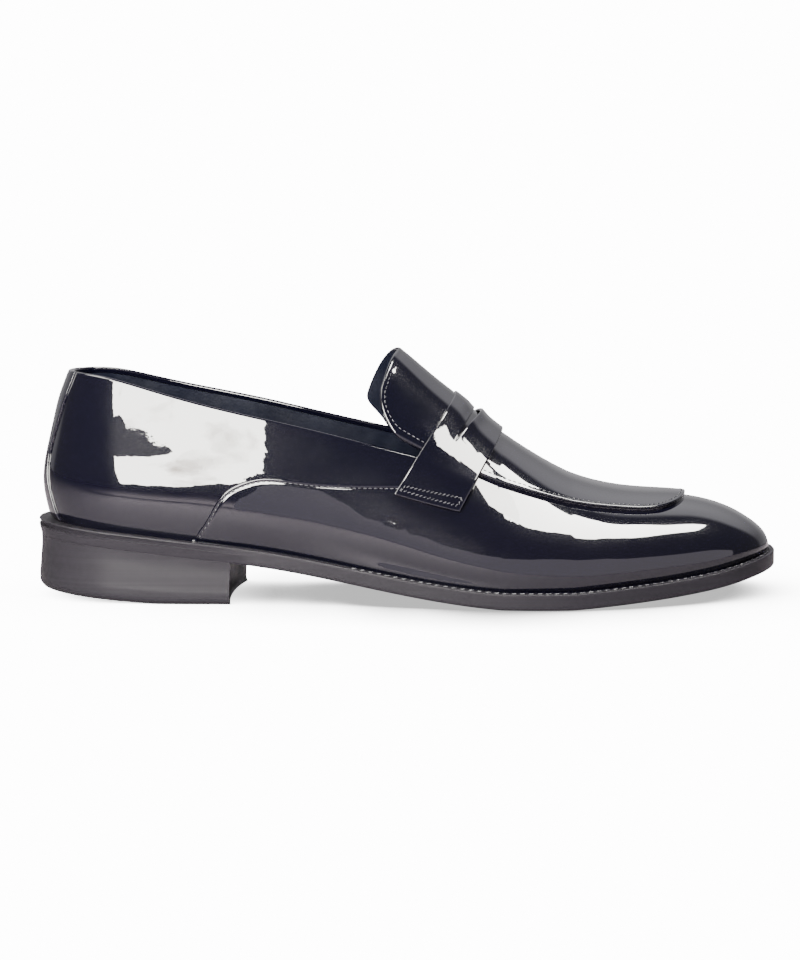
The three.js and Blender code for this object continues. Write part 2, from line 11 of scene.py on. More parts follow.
import bmesh
import bpy
import numpy as np
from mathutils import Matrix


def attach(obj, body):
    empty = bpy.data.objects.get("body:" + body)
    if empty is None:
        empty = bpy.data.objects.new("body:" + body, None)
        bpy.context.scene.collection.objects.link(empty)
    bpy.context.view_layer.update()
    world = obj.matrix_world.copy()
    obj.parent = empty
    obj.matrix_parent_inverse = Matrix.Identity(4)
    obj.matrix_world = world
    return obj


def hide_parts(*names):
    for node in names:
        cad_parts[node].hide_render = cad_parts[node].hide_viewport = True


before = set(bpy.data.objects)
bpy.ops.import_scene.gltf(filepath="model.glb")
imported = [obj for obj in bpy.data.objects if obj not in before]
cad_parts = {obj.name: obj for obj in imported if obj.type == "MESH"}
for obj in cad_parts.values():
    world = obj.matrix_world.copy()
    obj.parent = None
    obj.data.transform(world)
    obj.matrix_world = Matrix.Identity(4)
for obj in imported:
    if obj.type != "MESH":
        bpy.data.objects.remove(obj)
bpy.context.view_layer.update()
print("nodes in the frame:", sorted(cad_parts))

# %% [markdown]
# ## Camera
# A long lens from the outer side of the shoe, a little above it, as a shop photograph is taken.

# %% Camera
VIEW_CENTRE = (-0.0033, -0.0002, 0.04585)
VIEW_DISTANCE = 1.2
VIEW_ELEVATION = math.radians(6.6)
camera_data = bpy.data.cameras.new("camera")
camera_data.lens = 110.4
camera_data.sensor_width = 36.0
camera_data.clip_end = 50.0
camera = bpy.data.objects.new("camera", camera_data)
bpy.context.scene.collection.objects.link(camera)
camera.location = (
    VIEW_CENTRE[0],
    VIEW_CENTRE[1] - VIEW_DISTANCE * math.cos(VIEW_ELEVATION),
    VIEW_CENTRE[2] + VIEW_DISTANCE * math.sin(VIEW_ELEVATION),
)
camera.rotation_euler = (math.pi / 2 - VIEW_ELEVATION, 0.0, 0.0)
bpy.context.scene.camera = camera
print("camera stands", VIEW_DISTANCE, "m away")

# %% [markdown]
# ## Studio
# Patent leather is a black mirror, so its look is the room's look: a white floor, a pale room behind
# and a dark one on the camera's side. Glowing screens cut to shape make the highlights: one beside
# the camera for the heel, one overhead for the toe, a small one for the strap, a low grey card for
# the leather near the sole, and one at the back.

# %% Floor, lights and room
def new_material(name):
    material = bpy.data.materials.new(name)
    material.use_nodes = True
    return material


def link_stage(obj):
    bpy.context.scene.collection.objects.link(obj)


def add(tree, kind, operation=None, **values):
    """A new node with its inputs set. In a name, an underscore stands for a space."""
    node = tree.nodes.new(kind)
    if operation:
        node.operation = operation
    for label, value in values.items():
        node.inputs[label.replace("_", " ")].default_value = value
    return node


def maths(tree, operation, second=None):
    node = add(tree, "ShaderNodeMath", operation)
    if second is not None:
        node.inputs[1].default_value = second
    return node


def wire(tree, *links):
    """Links, each given as: node, its output, next node, its input."""
    for start, output, end, socket in links:
        tree.links.new(start.outputs[output], end.inputs[socket])


WHITE = 14.0
# FLOOR_COLOUR is the matt floor that lights the shoe and shows in its gloss; to the camera the floor glows
# white instead.
FLOOR_COLOUR = (0.335, 0.305, 0.335)
# The floor's shadow is painted: its glow to the camera is dimmed by ambient occlusion within SHADOW_REACH,
# raised to a power read off SHADOW_DEPTHS along X, and kept above SHADOW_FLOOR.
SHADOW_REACH = 0.06
SHADOW_FLOOR = 0.05
SHADOW_HALF = 0.16
SHADOW_SCALE = 8.0
SHADOW_DEPTHS = [(-SHADOW_HALF, 0.25), (-0.11, 0.3), (-0.075, 0.6), (-0.052, 1.1), (-0.032, 1.4)]
SHADOW_DEPTHS += [(0.0, 3.5), (0.0375, 7.5), (0.08, 4.0), (0.13, 1.5), (SHADOW_HALF, 1.5)]


def floor_finish():
    """Matt violet-grey to light and reflections. To the camera it glows as white as the room, with a painted
    shadow near the shoe.
    """
    paint = new_material("pale_floor")
    tree = paint.node_tree
    matt = tree.nodes["Principled BSDF"]
    matt.inputs["Base Color"].default_value = (*FLOOR_COLOUR, 1.0)
    matt.inputs["Roughness"].default_value = 0.8
    matt.inputs["Specular IOR Level"].default_value = 0.1
    # Painted shadow near the shoe, from ambient occlusion.
    nearby = add(tree, "ShaderNodeAmbientOcclusion", Distance=SHADOW_REACH)
    nearby.samples = 16
    place, axes = add(tree, "ShaderNodeTexCoord"), add(tree, "ShaderNodeSeparateXYZ")
    along = add(tree, "ShaderNodeMapRange", From_Min=-SHADOW_HALF, From_Max=SHADOW_HALF)
    depth = add(tree, "ShaderNodeValToRGB")
    depth.color_ramp.interpolation = "EASE"
    stops = depth.color_ramp.elements
    shares = [(x + SHADOW_HALF) / (2 * SHADOW_HALF) for x, _ in SHADOW_DEPTHS]
    for share in shares[1:-1]:
        stops.new(share)
    for stop, share, (_, value) in zip(stops, shares, SHADOW_DEPTHS):
        stop.position = share
        stop.color = (*[value / SHADOW_SCALE] * 3, 1)
    exponent, deepen = maths(tree, "MULTIPLY", SHADOW_SCALE), maths(tree, "POWER")
    at_least, white = maths(tree, "MAXIMUM", SHADOW_FLOOR), maths(tree, "MULTIPLY", WHITE)
    glow, kind = add(tree, "ShaderNodeEmission"), add(tree, "ShaderNodeLightPath")
    pick = add(tree, "ShaderNodeMixShader")
    wire(
        tree,
        (place, "Object", axes, 0),
        (axes, "X", along, "Value"),
        (along, "Result", depth, 0),
        (depth, "Color", exponent, 0),
        (nearby, "AO", deepen, 0),
        (exponent, 0, deepen, 1),
        (deepen, 0, at_least, 0),
        (at_least, 0, white, 0),
        (white, 0, glow, "Strength"),
        (kind, "Is Camera Ray", pick, 0),
        (matt, 0, pick, 1),
        (glow, 0, pick, 2),
        (pick, 0, tree.nodes["Material Output"], "Surface"),
    )
    return paint


FLOOR_HALF = 4.0
floor_mesh = bpy.data.meshes.new("floor")
floor_corners = [(-1, -1), (1, -1), (1, 1), (-1, 1)]
floor_points = [(x * FLOOR_HALF, y * FLOOR_HALF, 0.0) for x, y in floor_corners]
floor_mesh.from_pydata(floor_points, [], [(0, 1, 2, 3)])
floor = bpy.data.objects.new("floor", floor_mesh)
link_stage(floor)
floor_mesh.materials.append(floor_finish())


def ragged(corners, step, amount):
    """Small uneven teeth along the edges of a flat outline, so that its reflection is not ruled."""
    dice = np.random.default_rng(7)
    corners = np.array(corners)
    pieces = []
    for start, end in zip(corners, np.roll(corners, -1, axis=0)):
        length = np.linalg.norm(end - start)
        count = max(int(length / step), 1)
        share = np.arange(count)[:, None] / count
        across = np.array([start[1] - end[1], end[0] - start[0]]) / length
        pieces.append(start + (end - start) * share + across * dice.uniform(-amount, amount, (count, 1)))
    return np.concatenate(pieces)


DULL = (0.22, 0.18, 0.15)


def soft_panel(name, corners, radiance, colour, only_reflected=False, clouds=False):
    """A flat glowing screen. It lights the shoe and shows in its gloss, but not to the camera."""
    mesh = bpy.data.meshes.new(name)
    mesh.from_pydata(corners, [], [tuple(range(len(corners)))])
    panel = bpy.data.objects.new(name, mesh)
    link_stage(panel)
    panel.visible_camera = False
    panel.visible_shadow = False
    panel.visible_diffuse = not only_reflected
    paint = new_material(name)
    tree = paint.node_tree
    glow = add(tree, "ShaderNodeEmission", Color=(*colour, 1.0), Strength=radiance)
    if clouds:
        place, tint = add(tree, "ShaderNodeTexCoord"), add(tree, "ShaderNodeValToRGB")
        cloud = add(tree, "ShaderNodeTexNoise", Scale=22.0, Detail=5.0)
        for stop, position, shade in zip(tint.color_ramp.elements, (0.52, 0.74), (colour, DULL)):
            stop.position = position
            stop.color = (*shade, 1)
        wire(tree, (place, "Object", cloud, "Vector"), (cloud, "Fac", tint, 0))
        wire(tree, (tint, "Color", glow, "Color"))
    wire(tree, (glow, 0, tree.nodes["Material Output"], "Surface"))
    mesh.materials.append(paint)


WARM = (1.0, 0.985, 0.93)
HEEL_PANEL_AWAY = -0.35
HEEL_PANEL = [
    (-0.33, 0.33), (-0.33, 0.275), (-0.245, 0.178), (-0.226, 0.152), (-0.185, 0.063),
    (-0.156, 0.059), (-0.126, 0.069), (-0.107, 0.084), (-0.095, 0.1), (-0.078, 0.114),
    (-0.074, 0.135), (-0.064, 0.16), (-0.057, 0.178), (-0.053, 0.2), (-0.05, 0.235),
]
STAND = [
    (-0.3, 0.182), (-0.215, 0.178), (-0.188, 0.171), (-0.165, 0.159), (-0.148, 0.148),
    (-0.145, 0.143), (-0.158, 0.138), (-0.2, 0.141), (-0.228, 0.145), (-0.24, 0.153),
    (-0.3, 0.157),
]
TOE_PANEL_HEIGHT = 0.7
TOE_PANEL = [
    (0.14, -0.36), (0.164, -0.331), (0.206, -0.277), (0.264, -0.222), (0.317, -0.155),
    (0.345, -0.12), (0.38, -0.105), (0.415, -0.085), (0.44, -0.04), (0.44, 0.03),
    (0.448, 0.11), (0.448, 0.14), (0.412, 0.128), (0.362, 0.108), (0.337, 0.12), (0.297, 0.14),
    (0.285, -0.02), (0.235, -0.13), (0.2, -0.2),
]
LOW_CARD_AWAY = -0.34
LOW_CARD = [
    (-0.115, 0.001), (-0.105, 0.04), (-0.088, 0.08), (-0.065, 0.106), (-0.02, 0.135),
    (0.034, 0.18), (0.11, 0.24), (0.19, 0.29), (0.33, 0.35), (0.455, 0.31), (1.2, 0.3),
    (1.2, 0.001),
]
STRAP_PANEL_HEIGHT = 0.11
STRAP_PANEL = [
    (0.0342, -0.0702), (0.04, -0.0665), (0.046, -0.0627), (0.0505, -0.0608), (0.051, -0.069),
    (0.06, -0.069), (0.064, -0.056), (0.0645, -0.038), (0.06, -0.033), (0.057, -0.0385),
    (0.0545, -0.031), (0.0515, -0.0405), (0.049, -0.031), (0.047, -0.043), (0.0445, -0.047),
    (0.0415, -0.032), (0.0392, -0.042), (0.0362, -0.055),
]
REAR_PANEL = [(-0.9, -0.9, 0.75), (-0.9, 0.1, 0.75), (-0.5, 0.1, 1.15), (-0.5, -0.9, 1.15)]
heel_screen = [(x, HEEL_PANEL_AWAY, z) for x, z in ragged(HEEL_PANEL, 0.004, 0.0022)]
soft_panel("heel_panel", heel_screen, 85.0, WARM, clouds=True)
soft_panel("stand", [(x, HEEL_PANEL_AWAY + 0.002, z) for x, z in STAND], 0.2, WARM)
toe_screen = [(x, y, TOE_PANEL_HEIGHT) for x, y in ragged(TOE_PANEL, 0.008, 0.002)]
soft_panel("toe_panel", toe_screen, 90.0, WARM)
strap_screen = [(x, y, STRAP_PANEL_HEIGHT) for x, y in ragged(STRAP_PANEL, 0.0012, 0.0004)]
soft_panel("strap_panel", strap_screen, 75.0, WARM, only_reflected=True)
soft_panel("rear_panel", REAR_PANEL, 20.0, WARM, only_reflected=True)
soft_panel("low_card", [(x, LOW_CARD_AWAY, z) for x, z in LOW_CARD], 1.7, (1.0, 0.93, 1.02))

world = bpy.data.worlds.new("studio")
bpy.context.scene.world = world
world.use_nodes = True
room = world.node_tree
room.nodes.clear()
room_out = add(room, "ShaderNodeOutputWorld")
seen = add(room, "ShaderNodeBackground", Color=(1.0, 1.0, 1.0, 1.0), Strength=WHITE)
around = add(room, "ShaderNodeBackground", Color=(0.98, 0.96, 1.0, 1.0))
ray_kind, pick = add(room, "ShaderNodeLightPath"), add(room, "ShaderNodeMixShader")
direction, split = add(room, "ShaderNodeTexCoord"), add(room, "ShaderNodeSeparateXYZ")


def room_ramp(axis, low, high, at_low, at_high):
    ramp = add(room, "ShaderNodeMapRange", From_Min=low, From_Max=high, To_Min=at_low, To_Max=at_high)
    ramp.interpolation_type = "SMOOTHSTEP"
    wire(room, (split, axis, ramp, "Value"))
    return ramp


DARK_SIDE = 0.19
behind = room_ramp("Y", 0.38, 0.52, 0.0, 1.8)
overhead = room_ramp("Z", 0.3, 0.85, 0.22, 1.0)
level = maths(room, "MULTIPLY_ADD")
level.inputs[2].default_value = DARK_SIDE
wire(
    room,
    (direction, "Generated", split, 0),
    (behind, "Result", level, 0),
    (overhead, "Result", level, 1),
    (level, 0, around, "Strength"),
    (ray_kind, "Is Camera Ray", pick, 0),
    (around, 0, pick, 1),
    (seen, 0, pick, 2),
    (pick, 0, room_out, "Surface"),
)
print("studio set")

# %% [markdown]
# ## The last
# A shoe is pulled over a last, so the last comes first. Its plan, side view and sections are short
# tables of shares, and smooth curves run through them. Lengths in these cells are millimetres from
# the heel's back; `to_frame` turns them into the frame's metres.

# %% Smooth curves through tables
LENGTH = 300.0
BALL_WIDTH = 103.0
SEAT_HEIGHT = 25.4
TOE_SPRING = 11.4
OUTSOLE = 3.8
WELT = 2.3
JOINT = 0.3
INSTEP = 86.0
QUARTER = 60.0
FEATHER = 3.6
WALL = 1.8
VAMP_STEP = 0.9
FRAME_SHIFT = np.array([-150.0, -0.1725, 0.0])


def to_frame(points):
    return (np.asarray(points, float) + FRAME_SHIFT) / 1000.0


class Curve:
    """A natural cubic spline through (place, value) pairs."""

    def __init__(self, places, values):
        self.x = np.array(places, float)
        self.y = np.array(values, float)
        count = len(self.x)
        span = np.diff(self.x)
        system = np.eye(count)
        change = np.zeros(count)
        for i in range(1, count - 1):
            system[i, i - 1 : i + 2] = span[i - 1], 2 * (span[i - 1] + span[i]), span[i]
            steeper = (self.y[i + 1] - self.y[i]) / span[i] - (self.y[i] - self.y[i - 1]) / span[i - 1]
            change[i] = 6 * steeper
        self.bend = np.linalg.solve(system, change)

    def __call__(self, place):
        place = np.asarray(place, float)
        i = np.clip(np.searchsorted(self.x, place) - 1, 0, len(self.x) - 2)
        span = self.x[i + 1] - self.x[i]
        a = (self.x[i + 1] - place) / span
        b = (place - self.x[i]) / span
        sag = ((a**3 - a) * self.bend[i] + (b**3 - b) * self.bend[i + 1]) * span**2 / 6
        return a * self.y[i] + b * self.y[i + 1] + sag


def table(names, rows):
    rows = np.array(rows, float)
    return {name: Curve(rows[:, 0], rows[:, k + 1]) for k, name in enumerate(names)}


plan = table(
    ("lateral", "medial", "spine"),
    [
        (0.0, 0.32, 0.32, -0.01), (0.1, 0.325, 0.325, -0.01), (0.2, 0.335, 0.325, -0.01),
        (0.3, 0.345, 0.301, -0.005), (0.4, 0.379, 0.282, 0.005), (0.5, 0.447, 0.311, 0.019),
        (0.6, 0.524, 0.388, 0.039), (0.683, 0.558, 0.442, 0.053), (0.767, 0.529, 0.442, 0.063),
        (0.85, 0.451, 0.393, 0.068), (0.933, 0.354, 0.32, 0.068), (1.0, 0.262, 0.252, 0.068),
    ],
)
underside = table(
    ("heel", "toe"),
    [
        (0.0, 1.0, 0.0), (0.1, 0.878, 0.0), (0.2, 0.74, 0.0), (0.3, 0.598, 0.0),
        (0.4, 0.394, 0.0), (0.5, 0.175, 0.0), (0.6, 0.03, -0.02),
        (0.66, 0.0, -0.04), (0.71, 0.0, -0.01), (0.75, 0.0, 0.06),
        (0.8, 0.0, 0.16), (0.9, 0.0, 0.46), (1.0, 0.0, 1.0),
    ],
)
ridge = table(
    ("above",),
    [
        (0.0, 1.09), (0.133, 1.16), (0.267, 1.225), (0.367, 1.195), (0.433, 1.105),
        (0.487, 0.997), (0.533, 0.88), (0.577, 0.779), (0.62, 0.673), (0.663, 0.572),
        (0.707, 0.484), (0.75, 0.42), (0.8, 0.374), (0.853, 0.345), (0.9, 0.314),
        (0.947, 0.26), (1.0, 0.16),
    ],
)
section = table(
    ("across", "up", "bulge", "fullest", "margin"),
    [
        (0.0, 2.0, 1.9, 0.03, 0.2, 1.28), (0.2, 2.2, 1.9, 0.021, 0.2, 0.94),
        (0.367, 2.1, 1.8, 0.021, 0.22, 0.78), (0.5, 2.0, 1.6, 0.031, 0.25, 0.89),
        (0.633, 2.1, 1.6, 0.033, 0.3, 1.04), (0.767, 2.5, 1.9, 0.023, 0.35, 1.05),
        (0.9, 2.6, 2.1, 0.012, 0.35, 0.98), (1.0, 2.6, 2.2, 0.005, 0.35, 0.92),
    ],
)
collar = table(
    ("lateral", "medial"),
    [
        (0.0, 0.992, 0.992), (0.067, 1.008, 1.018), (0.167, 0.957, 0.99), (0.283, 0.883, 0.945),
        (0.4, 0.853, 0.914), (0.507, 0.828, 0.893), (0.567, 0.81, 0.86),
    ],
)
HEEL_END = (0.113, 2.2)
TOE_END = (0.100, 2.7)
FAN_BACK, FAN_FRONT, FAN_BLEND = 0.147 * LENGTH, 0.833 * LENGTH, 0.075 * LENGTH
RIGHT_ANGLE = math.pi / 2
print("last tables ready")


# %% The last's surface
def mix(low, high, share):
    return low + (high - low) * share


def smooth(share):
    t = np.clip(share, 0.0, 1.0)
    return t * t * (3 - 2 * t)


def same_shape(*values):
    return np.broadcast_arrays(*(np.asarray(value, float) for value in values))


def way_along(points):
    """Distance run along a line at each of its points."""
    return np.concatenate([[0], np.cumsum(np.linalg.norm(np.diff(points, axis=0), axis=1))])


def there_and_back(half):
    """Stations round the shoe: down the outer side and back up the inner one, with their sides."""
    count = len(half)
    return np.concatenate([half, half[::-1][1:-1]]), np.concatenate([-np.ones(count), np.ones(count - 2)])


def spine_at(x):
    return plan["spine"](np.asarray(x) / LENGTH) * BALL_WIDTH


def outline_at(x, side, inset):
    share = np.asarray(x, float) / LENGTH
    back = np.clip(1 - share / HEEL_END[0], 0, 1)
    front = np.clip(1 - (1 - share) / TOE_END[0], 0, 1)
    rear_round = np.maximum(1 - back ** HEEL_END[1], 0) ** (1 / HEEL_END[1])
    ends = rear_round * np.maximum(1 - front ** TOE_END[1], 0) ** (1 / TOE_END[1])
    width = np.where(np.asarray(side) < 0, plan["lateral"](share), plan["medial"](share)) * BALL_WIDTH
    return inset + share * (LENGTH - 2 * inset), spine_at(x) + side * (width - inset) * ends


def sole_under(x):
    share = np.asarray(x) / LENGTH
    return np.maximum(underside["heel"](share) * SEAT_HEIGHT + underside["toe"](share) * TOE_SPRING, 0)


def sole_top(x):
    return sole_under(x) + OUTSOLE + JOINT + WELT


def fan_centre(x):
    x = np.asarray(x, float)
    back = np.clip((x - FAN_BACK + FAN_BLEND) / (2 * FAN_BLEND), 0, 1)
    front = np.clip((x - FAN_FRONT + FAN_BLEND) / (2 * FAN_BLEND), 0, 1)
    lead = FAN_FRONT - FAN_BLEND
    rear = np.where(x > FAN_BACK + FAN_BLEND, x, FAN_BACK + 2 * FAN_BLEND * (back**3 - back**4 / 2))
    fore = np.where(x < lead, x, lead + 2 * FAN_BLEND * (front - front**3 + front**4 / 2))
    return np.where(x < (FAN_BACK + FAN_FRONT) / 2, rear, fore)


def ridge_height(x):
    return sole_top(x) + ridge["above"](np.asarray(x) / LENGTH) * INSTEP


def last_section(x, side):
    share = np.asarray(x, float) / LENGTH
    foot_x, foot_y = outline_at(x, side, section["margin"](share) * FEATHER)
    centre = fan_centre(x)
    s = foot_x / LENGTH
    across, up = 2 / section["across"](s), 2 / section["up"](s)
    swell = section["bulge"](s) * BALL_WIDTH, section["fullest"](s)
    return foot_x, foot_y, centre, spine_at(centre), sole_top(foot_x) + JOINT, across, up, swell


def reach_at(part, angle):
    foot_x, foot_y, centre_x, centre_y, base, across, up, (bulge, fullest) = part
    height = np.sin(angle) ** up
    level = height / fullest
    span = np.hypot(foot_x - centre_x, foot_y - centre_y)
    swell = bulge * level * np.exp((1 - level**2) / 2) * np.sqrt(np.maximum(1 - height, 0))
    return np.maximum(np.cos(angle), 0) ** across + swell / np.maximum(span, 1e-6)


def last_point(x, side, angle):
    x, side, angle = same_shape(x, side, angle)
    part = last_section(x, side)
    reach = reach_at(part, angle)
    px = part[2] + (part[0] - part[2]) * reach
    py = part[3] + (part[1] - part[3]) * reach
    height = np.sin(angle) ** part[6]
    return np.stack([px, py, part[4] + (ridge_height(px) - part[4]) * height], -1)


NORMAL_STEP = 0.02


def unit(vectors):
    return vectors / np.maximum(np.linalg.norm(vectors, axis=-1, keepdims=True), 1e-12)


def last_normal(x, side, angle):
    x, side, angle = same_shape(x, side, angle)

    def one_side(which):
        fore, rear = np.minimum(x + NORMAL_STEP, LENGTH), np.maximum(x - NORMAL_STEP, 0)
        high = np.minimum(angle + NORMAL_STEP / 10, RIGHT_ANGLE)
        low = np.maximum(angle - NORMAL_STEP / 10, 0)
        along = last_point(fore, which, angle) - last_point(rear, which, angle)
        upward = last_point(x, which, high) - last_point(x, which, low)
        return unit(np.cross(along, upward) * (-which)[..., None])

    normal = one_side(side)
    tip = (x < 1e-6) | (x > LENGTH - 1e-6)
    if tip.any():
        normal = np.where(tip[..., None], unit(normal + one_side(-side)), normal)
    top = angle > RIGHT_ANGLE - 1e-6
    if top.any():
        centre = fan_centre(x)
        slope = (ridge_height(centre + 1) - ridge_height(centre - 1)) / 2
        crest = unit(np.stack([-slope, 0 * slope, 1 + 0 * slope], -1))
        normal = np.where(top[..., None], crest, normal)
    return normal


RELIEF_BACK, RELIEF_FRONT = 50.0, 228.0
waist_relief = table(
    ("out",),
    [
        (50.0, 0.0), (64.0, 0.13), (78.0, 0.42), (88.0, 0.58), (96.0, 0.5), (107.0, 0.05),
        (118.0, -0.45), (130.0, -0.88), (145.0, -1.22), (158.0, -1.32), (180.0, -0.9),
        (205.0, -0.28), (228.0, 0.0),
    ],
)


CREASE_ARM = 48.0
CREASES = [
    ([(139.0, 0.315), (145.0, 0.350), (151.5, 0.385)], 1.0, 0.018),
    ([(149.5, 0.335), (156.0, 0.368), (163.0, 0.402), (172.5, 0.448)], 1.0, 0.085),
]


def creases(x, side, angle):
    """Soft troughs beside the strap, where the vamp bends: each has a path, a half width and a depth."""
    total = 0.0
    for path, half_width, depth in CREASES:
        stations, angles = np.array(path).T
        middle = np.interp(x, stations, angles)
        ends = smooth((x - stations[0]) / 4 + 0.5) * smooth((stations[-1] - x) / 4 + 0.5)
        across = (angle - middle) * CREASE_ARM / half_width
        total = total - depth * ends * np.exp(-(across**2)) * (side < 0)
    return total


def relief(x, side, angle):
    """The waist of the outer side: leather stands out before it and draws in over it."""
    span = (x > RELIEF_BACK) & (x < RELIEF_FRONT) & (side < 0)
    fade = smooth(angle / 0.12) * (1 - smooth((angle - 0.75) / 0.3))
    out = np.where(span, waist_relief["out"](np.clip(x, RELIEF_BACK, RELIEF_FRONT)), 0.0)
    return out * fade + creases(x, side, angle)


TUCK_DEPTH, TUCK_REACH = 0.75, 1.1
BACK_SPREAD, TOE_SPREAD = 15.0, 19.0
BACK_SPAN, TOE_SPAN = (30.0, 104.0), (12.0, 52.0)
toe_bulge = table(
    ("out",),
    [(12.0, 0.0), (18.0, 0.7), (24.0, 1.3), (30.0, 0.9), (36.0, 0.25), (42.0, 0.0), (52.0, 0.0)],
)
back_bulge = table(
    ("out",),
    [
        (30.0, 0.0), (38.0, 0.2), (46.0, 0.7), (62.0, 1.15),
        (74.0, 1.7), (80.0, 1.85), (88.0, 1.4), (104.0, 1.2),
    ],
)


def raised(x, side, angle, offset):
    """A point off the last: its offset, the relief, the fuller ends and the tuck at the feather line."""
    x, side, angle, offset = same_shape(x, side, angle, offset)
    place = last_point(x, side, angle)
    height = place[..., 2] - sole_top(place[..., 0])
    bulge = back_bulge["out"](np.clip(place[..., 2], *BACK_SPAN)) * np.exp(-((x / BACK_SPREAD) ** 2))
    fore = toe_bulge["out"](np.clip(place[..., 2], *TOE_SPAN))
    bulge = bulge + fore * np.exp(-(((LENGTH - x) / TOE_SPREAD) ** 2))
    lifted = offset + relief(x, side, angle) + bulge - TUCK_DEPTH * np.exp(-((height / TUCK_REACH) ** 2))
    return place + last_normal(x, side, angle) * lifted[..., None]


def bisect(low, high, is_below, steps=40):
    for _ in range(steps):
        middle = (low + high) / 2
        below = is_below(middle)
        low, high = np.where(below, middle, low), np.where(below, high, middle)
    return (low + high) / 2


def angle_at_height(x, side, height):
    x, side, height = same_shape(x, side, height)
    full = np.full(x.shape, RIGHT_ANGLE)
    return bisect(0 * full, full, lambda angle: last_point(x, side, angle)[..., 2] < height)


def by_plan(px, py):
    """Station, side and angle of the surface point over a place in plan."""
    px, py = same_shape(px, py)
    side = np.where(py < spine_at(fan_centre(px)), -1.0, 1.0)

    def behind(station):
        foot_x, foot_y, cx, cy = last_section(station, side)[:4]
        return side * ((px - cx) * (foot_y - cy) - (py - cy) * (foot_x - cx)) > 0

    x = bisect(np.zeros(px.shape), np.full(px.shape, LENGTH), behind)
    part = last_section(x, side)
    share = np.hypot(px - part[2], py - part[3]) / np.hypot(part[0] - part[2], part[1] - part[3])
    low, high = np.full(px.shape, 0.2), np.full(px.shape, RIGHT_ANGLE)
    angle = bisect(low, high, lambda a: reach_at(part, a) > share)
    return x, side, np.where(share < 1e-3, RIGHT_ANGLE, angle)


print("ridge over the instep:", round(float(ridge_height(150.0)), 1), "mm")

# %% [markdown]
# ## Building skins
# Each piece of leather is a closed sheet: an outer face, an inner face and a rounded rim. `Skin`
# collects grids of points, joins them with quads and welds the rows that meet.

# %% Skins
WELD = 2e-6
SLIVER = 1e-7
SHARP_FROM = math.radians(40.0)


class Skin:
    def __init__(self):
        self.points, self.faces, self.finishes = [], [], []
        self.count = 0

    def grid(self, points, closed=False, finish=0):
        rows, columns = points.shape[:2]
        index = np.arange(rows * columns).reshape(rows, columns) + self.count
        self.points.append(points.reshape(-1, 3))
        self.count += rows * columns
        self.strips(index, closed, finish)
        return index

    def strips(self, index, closed=False, finish=0):
        if closed:
            index = np.concatenate([index, index[:, :1]], 1)
        quads = np.stack([index[:-1, :-1], index[1:, :-1], index[1:, 1:], index[:-1, 1:]], -1).reshape(-1, 4)
        self.faces.append(quads)
        self.finishes.append(np.full(len(quads), finish))

    def bridge(self, first, second):
        """A strip between two rows of points."""
        self.strips(np.stack([first, second]))

    def rims(self, top, low):
        """Closes the gap between two sheets on all four sides."""
        for edge in (0, -1):
            self.bridge(top[:, edge], low[:, edge])
            self.bridge(top[edge], low[edge])

    def build(self, name, materials, nodes):
        mesh = bpy.data.meshes.new(name)
        corners = [list(dict.fromkeys(face)) for face in np.concatenate(self.faces).tolist()]
        whole = [k for k, face in enumerate(corners) if len(face) > 2]
        mesh.from_pydata(to_frame(np.concatenate(self.points)).tolist(), [], [corners[k] for k in whole])
        mesh.polygons.foreach_set("material_index", np.concatenate(self.finishes)[whole].astype(np.int32))
        work = bmesh.new()
        work.from_mesh(mesh)
        bmesh.ops.remove_doubles(work, verts=work.verts, dist=WELD)
        bmesh.ops.dissolve_degenerate(work, edges=work.edges, dist=SLIVER)
        bmesh.ops.recalc_face_normals(work, faces=work.faces)
        if work.calc_volume(signed=True) < 0:
            bmesh.ops.reverse_faces(work, faces=work.faces)
        open_edges = sum(1 for edge in work.edges if not edge.is_manifold)
        work.to_mesh(mesh)
        work.free()
        mesh.shade_smooth()
        mesh.set_sharp_from_angle(angle=SHARP_FROM)
        finish_piece(name, mesh, materials, nodes, open_edges)


def finish_piece(name, mesh, materials, nodes, open_edges=0):
    for material in materials:
        mesh.materials.append(material)
    piece = bpy.data.objects.new(name, mesh)
    bpy.context.scene.collection.objects.link(piece)
    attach(piece, "root")
    if nodes:
        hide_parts(*nodes)
    print(name, len(mesh.polygons), "faces,", open_edges, "open edges")


def edge_distance(points, path):
    """Distance from each point to a polyline."""
    flat = points.reshape(-1, points.shape[-1])
    best = np.full(len(flat), 1e9)
    for start, end in zip(path[:-1], path[1:]):
        along = end - start
        t = np.clip((flat - start) @ along / max(along @ along, 1e-12), 0, 1)
        best = np.minimum(best, np.linalg.norm(flat - start - t[:, None] * along, axis=1))
    return best.reshape(points.shape[:-1])


def rounding(distance, radius):
    """How far a rounded edge has fallen at this distance from it."""
    inside = radius - np.minimum(distance, radius)
    return radius - np.sqrt(np.maximum(radius**2 - inside**2, 0))


EDGE_STEPS = np.array([0.0, 0.04, 0.1, 0.18, 0.28, 0.4, 0.55, 0.75, 1.0, 1.3, 1.6, 1.9, 2.3, 2.8, 3.5])


def toward_edge(length, inner):
    """Distances from an edge: fine steps at the edge, then even steps to the full length."""
    steps = EDGE_STEPS[None] * np.minimum(1, np.asarray(length)[:, None] / 8.0)
    rest = np.linspace(0, 1, inner + 1)[1:][None]
    return np.concatenate([steps, mix(steps[:, -1:], np.asarray(length)[:, None], rest)], 1)


print("skin tools ready")

# %% [markdown]
# ## Finishes
# Patent leather is smooth leather under a thick clear lacquer. The leather layer is nearly black
# and a little rough, the coat above it is a mirror. Two effects are shared by several finishes, so
# each is a node group: a slow waviness, and faint smudges that dull a surface in patches.

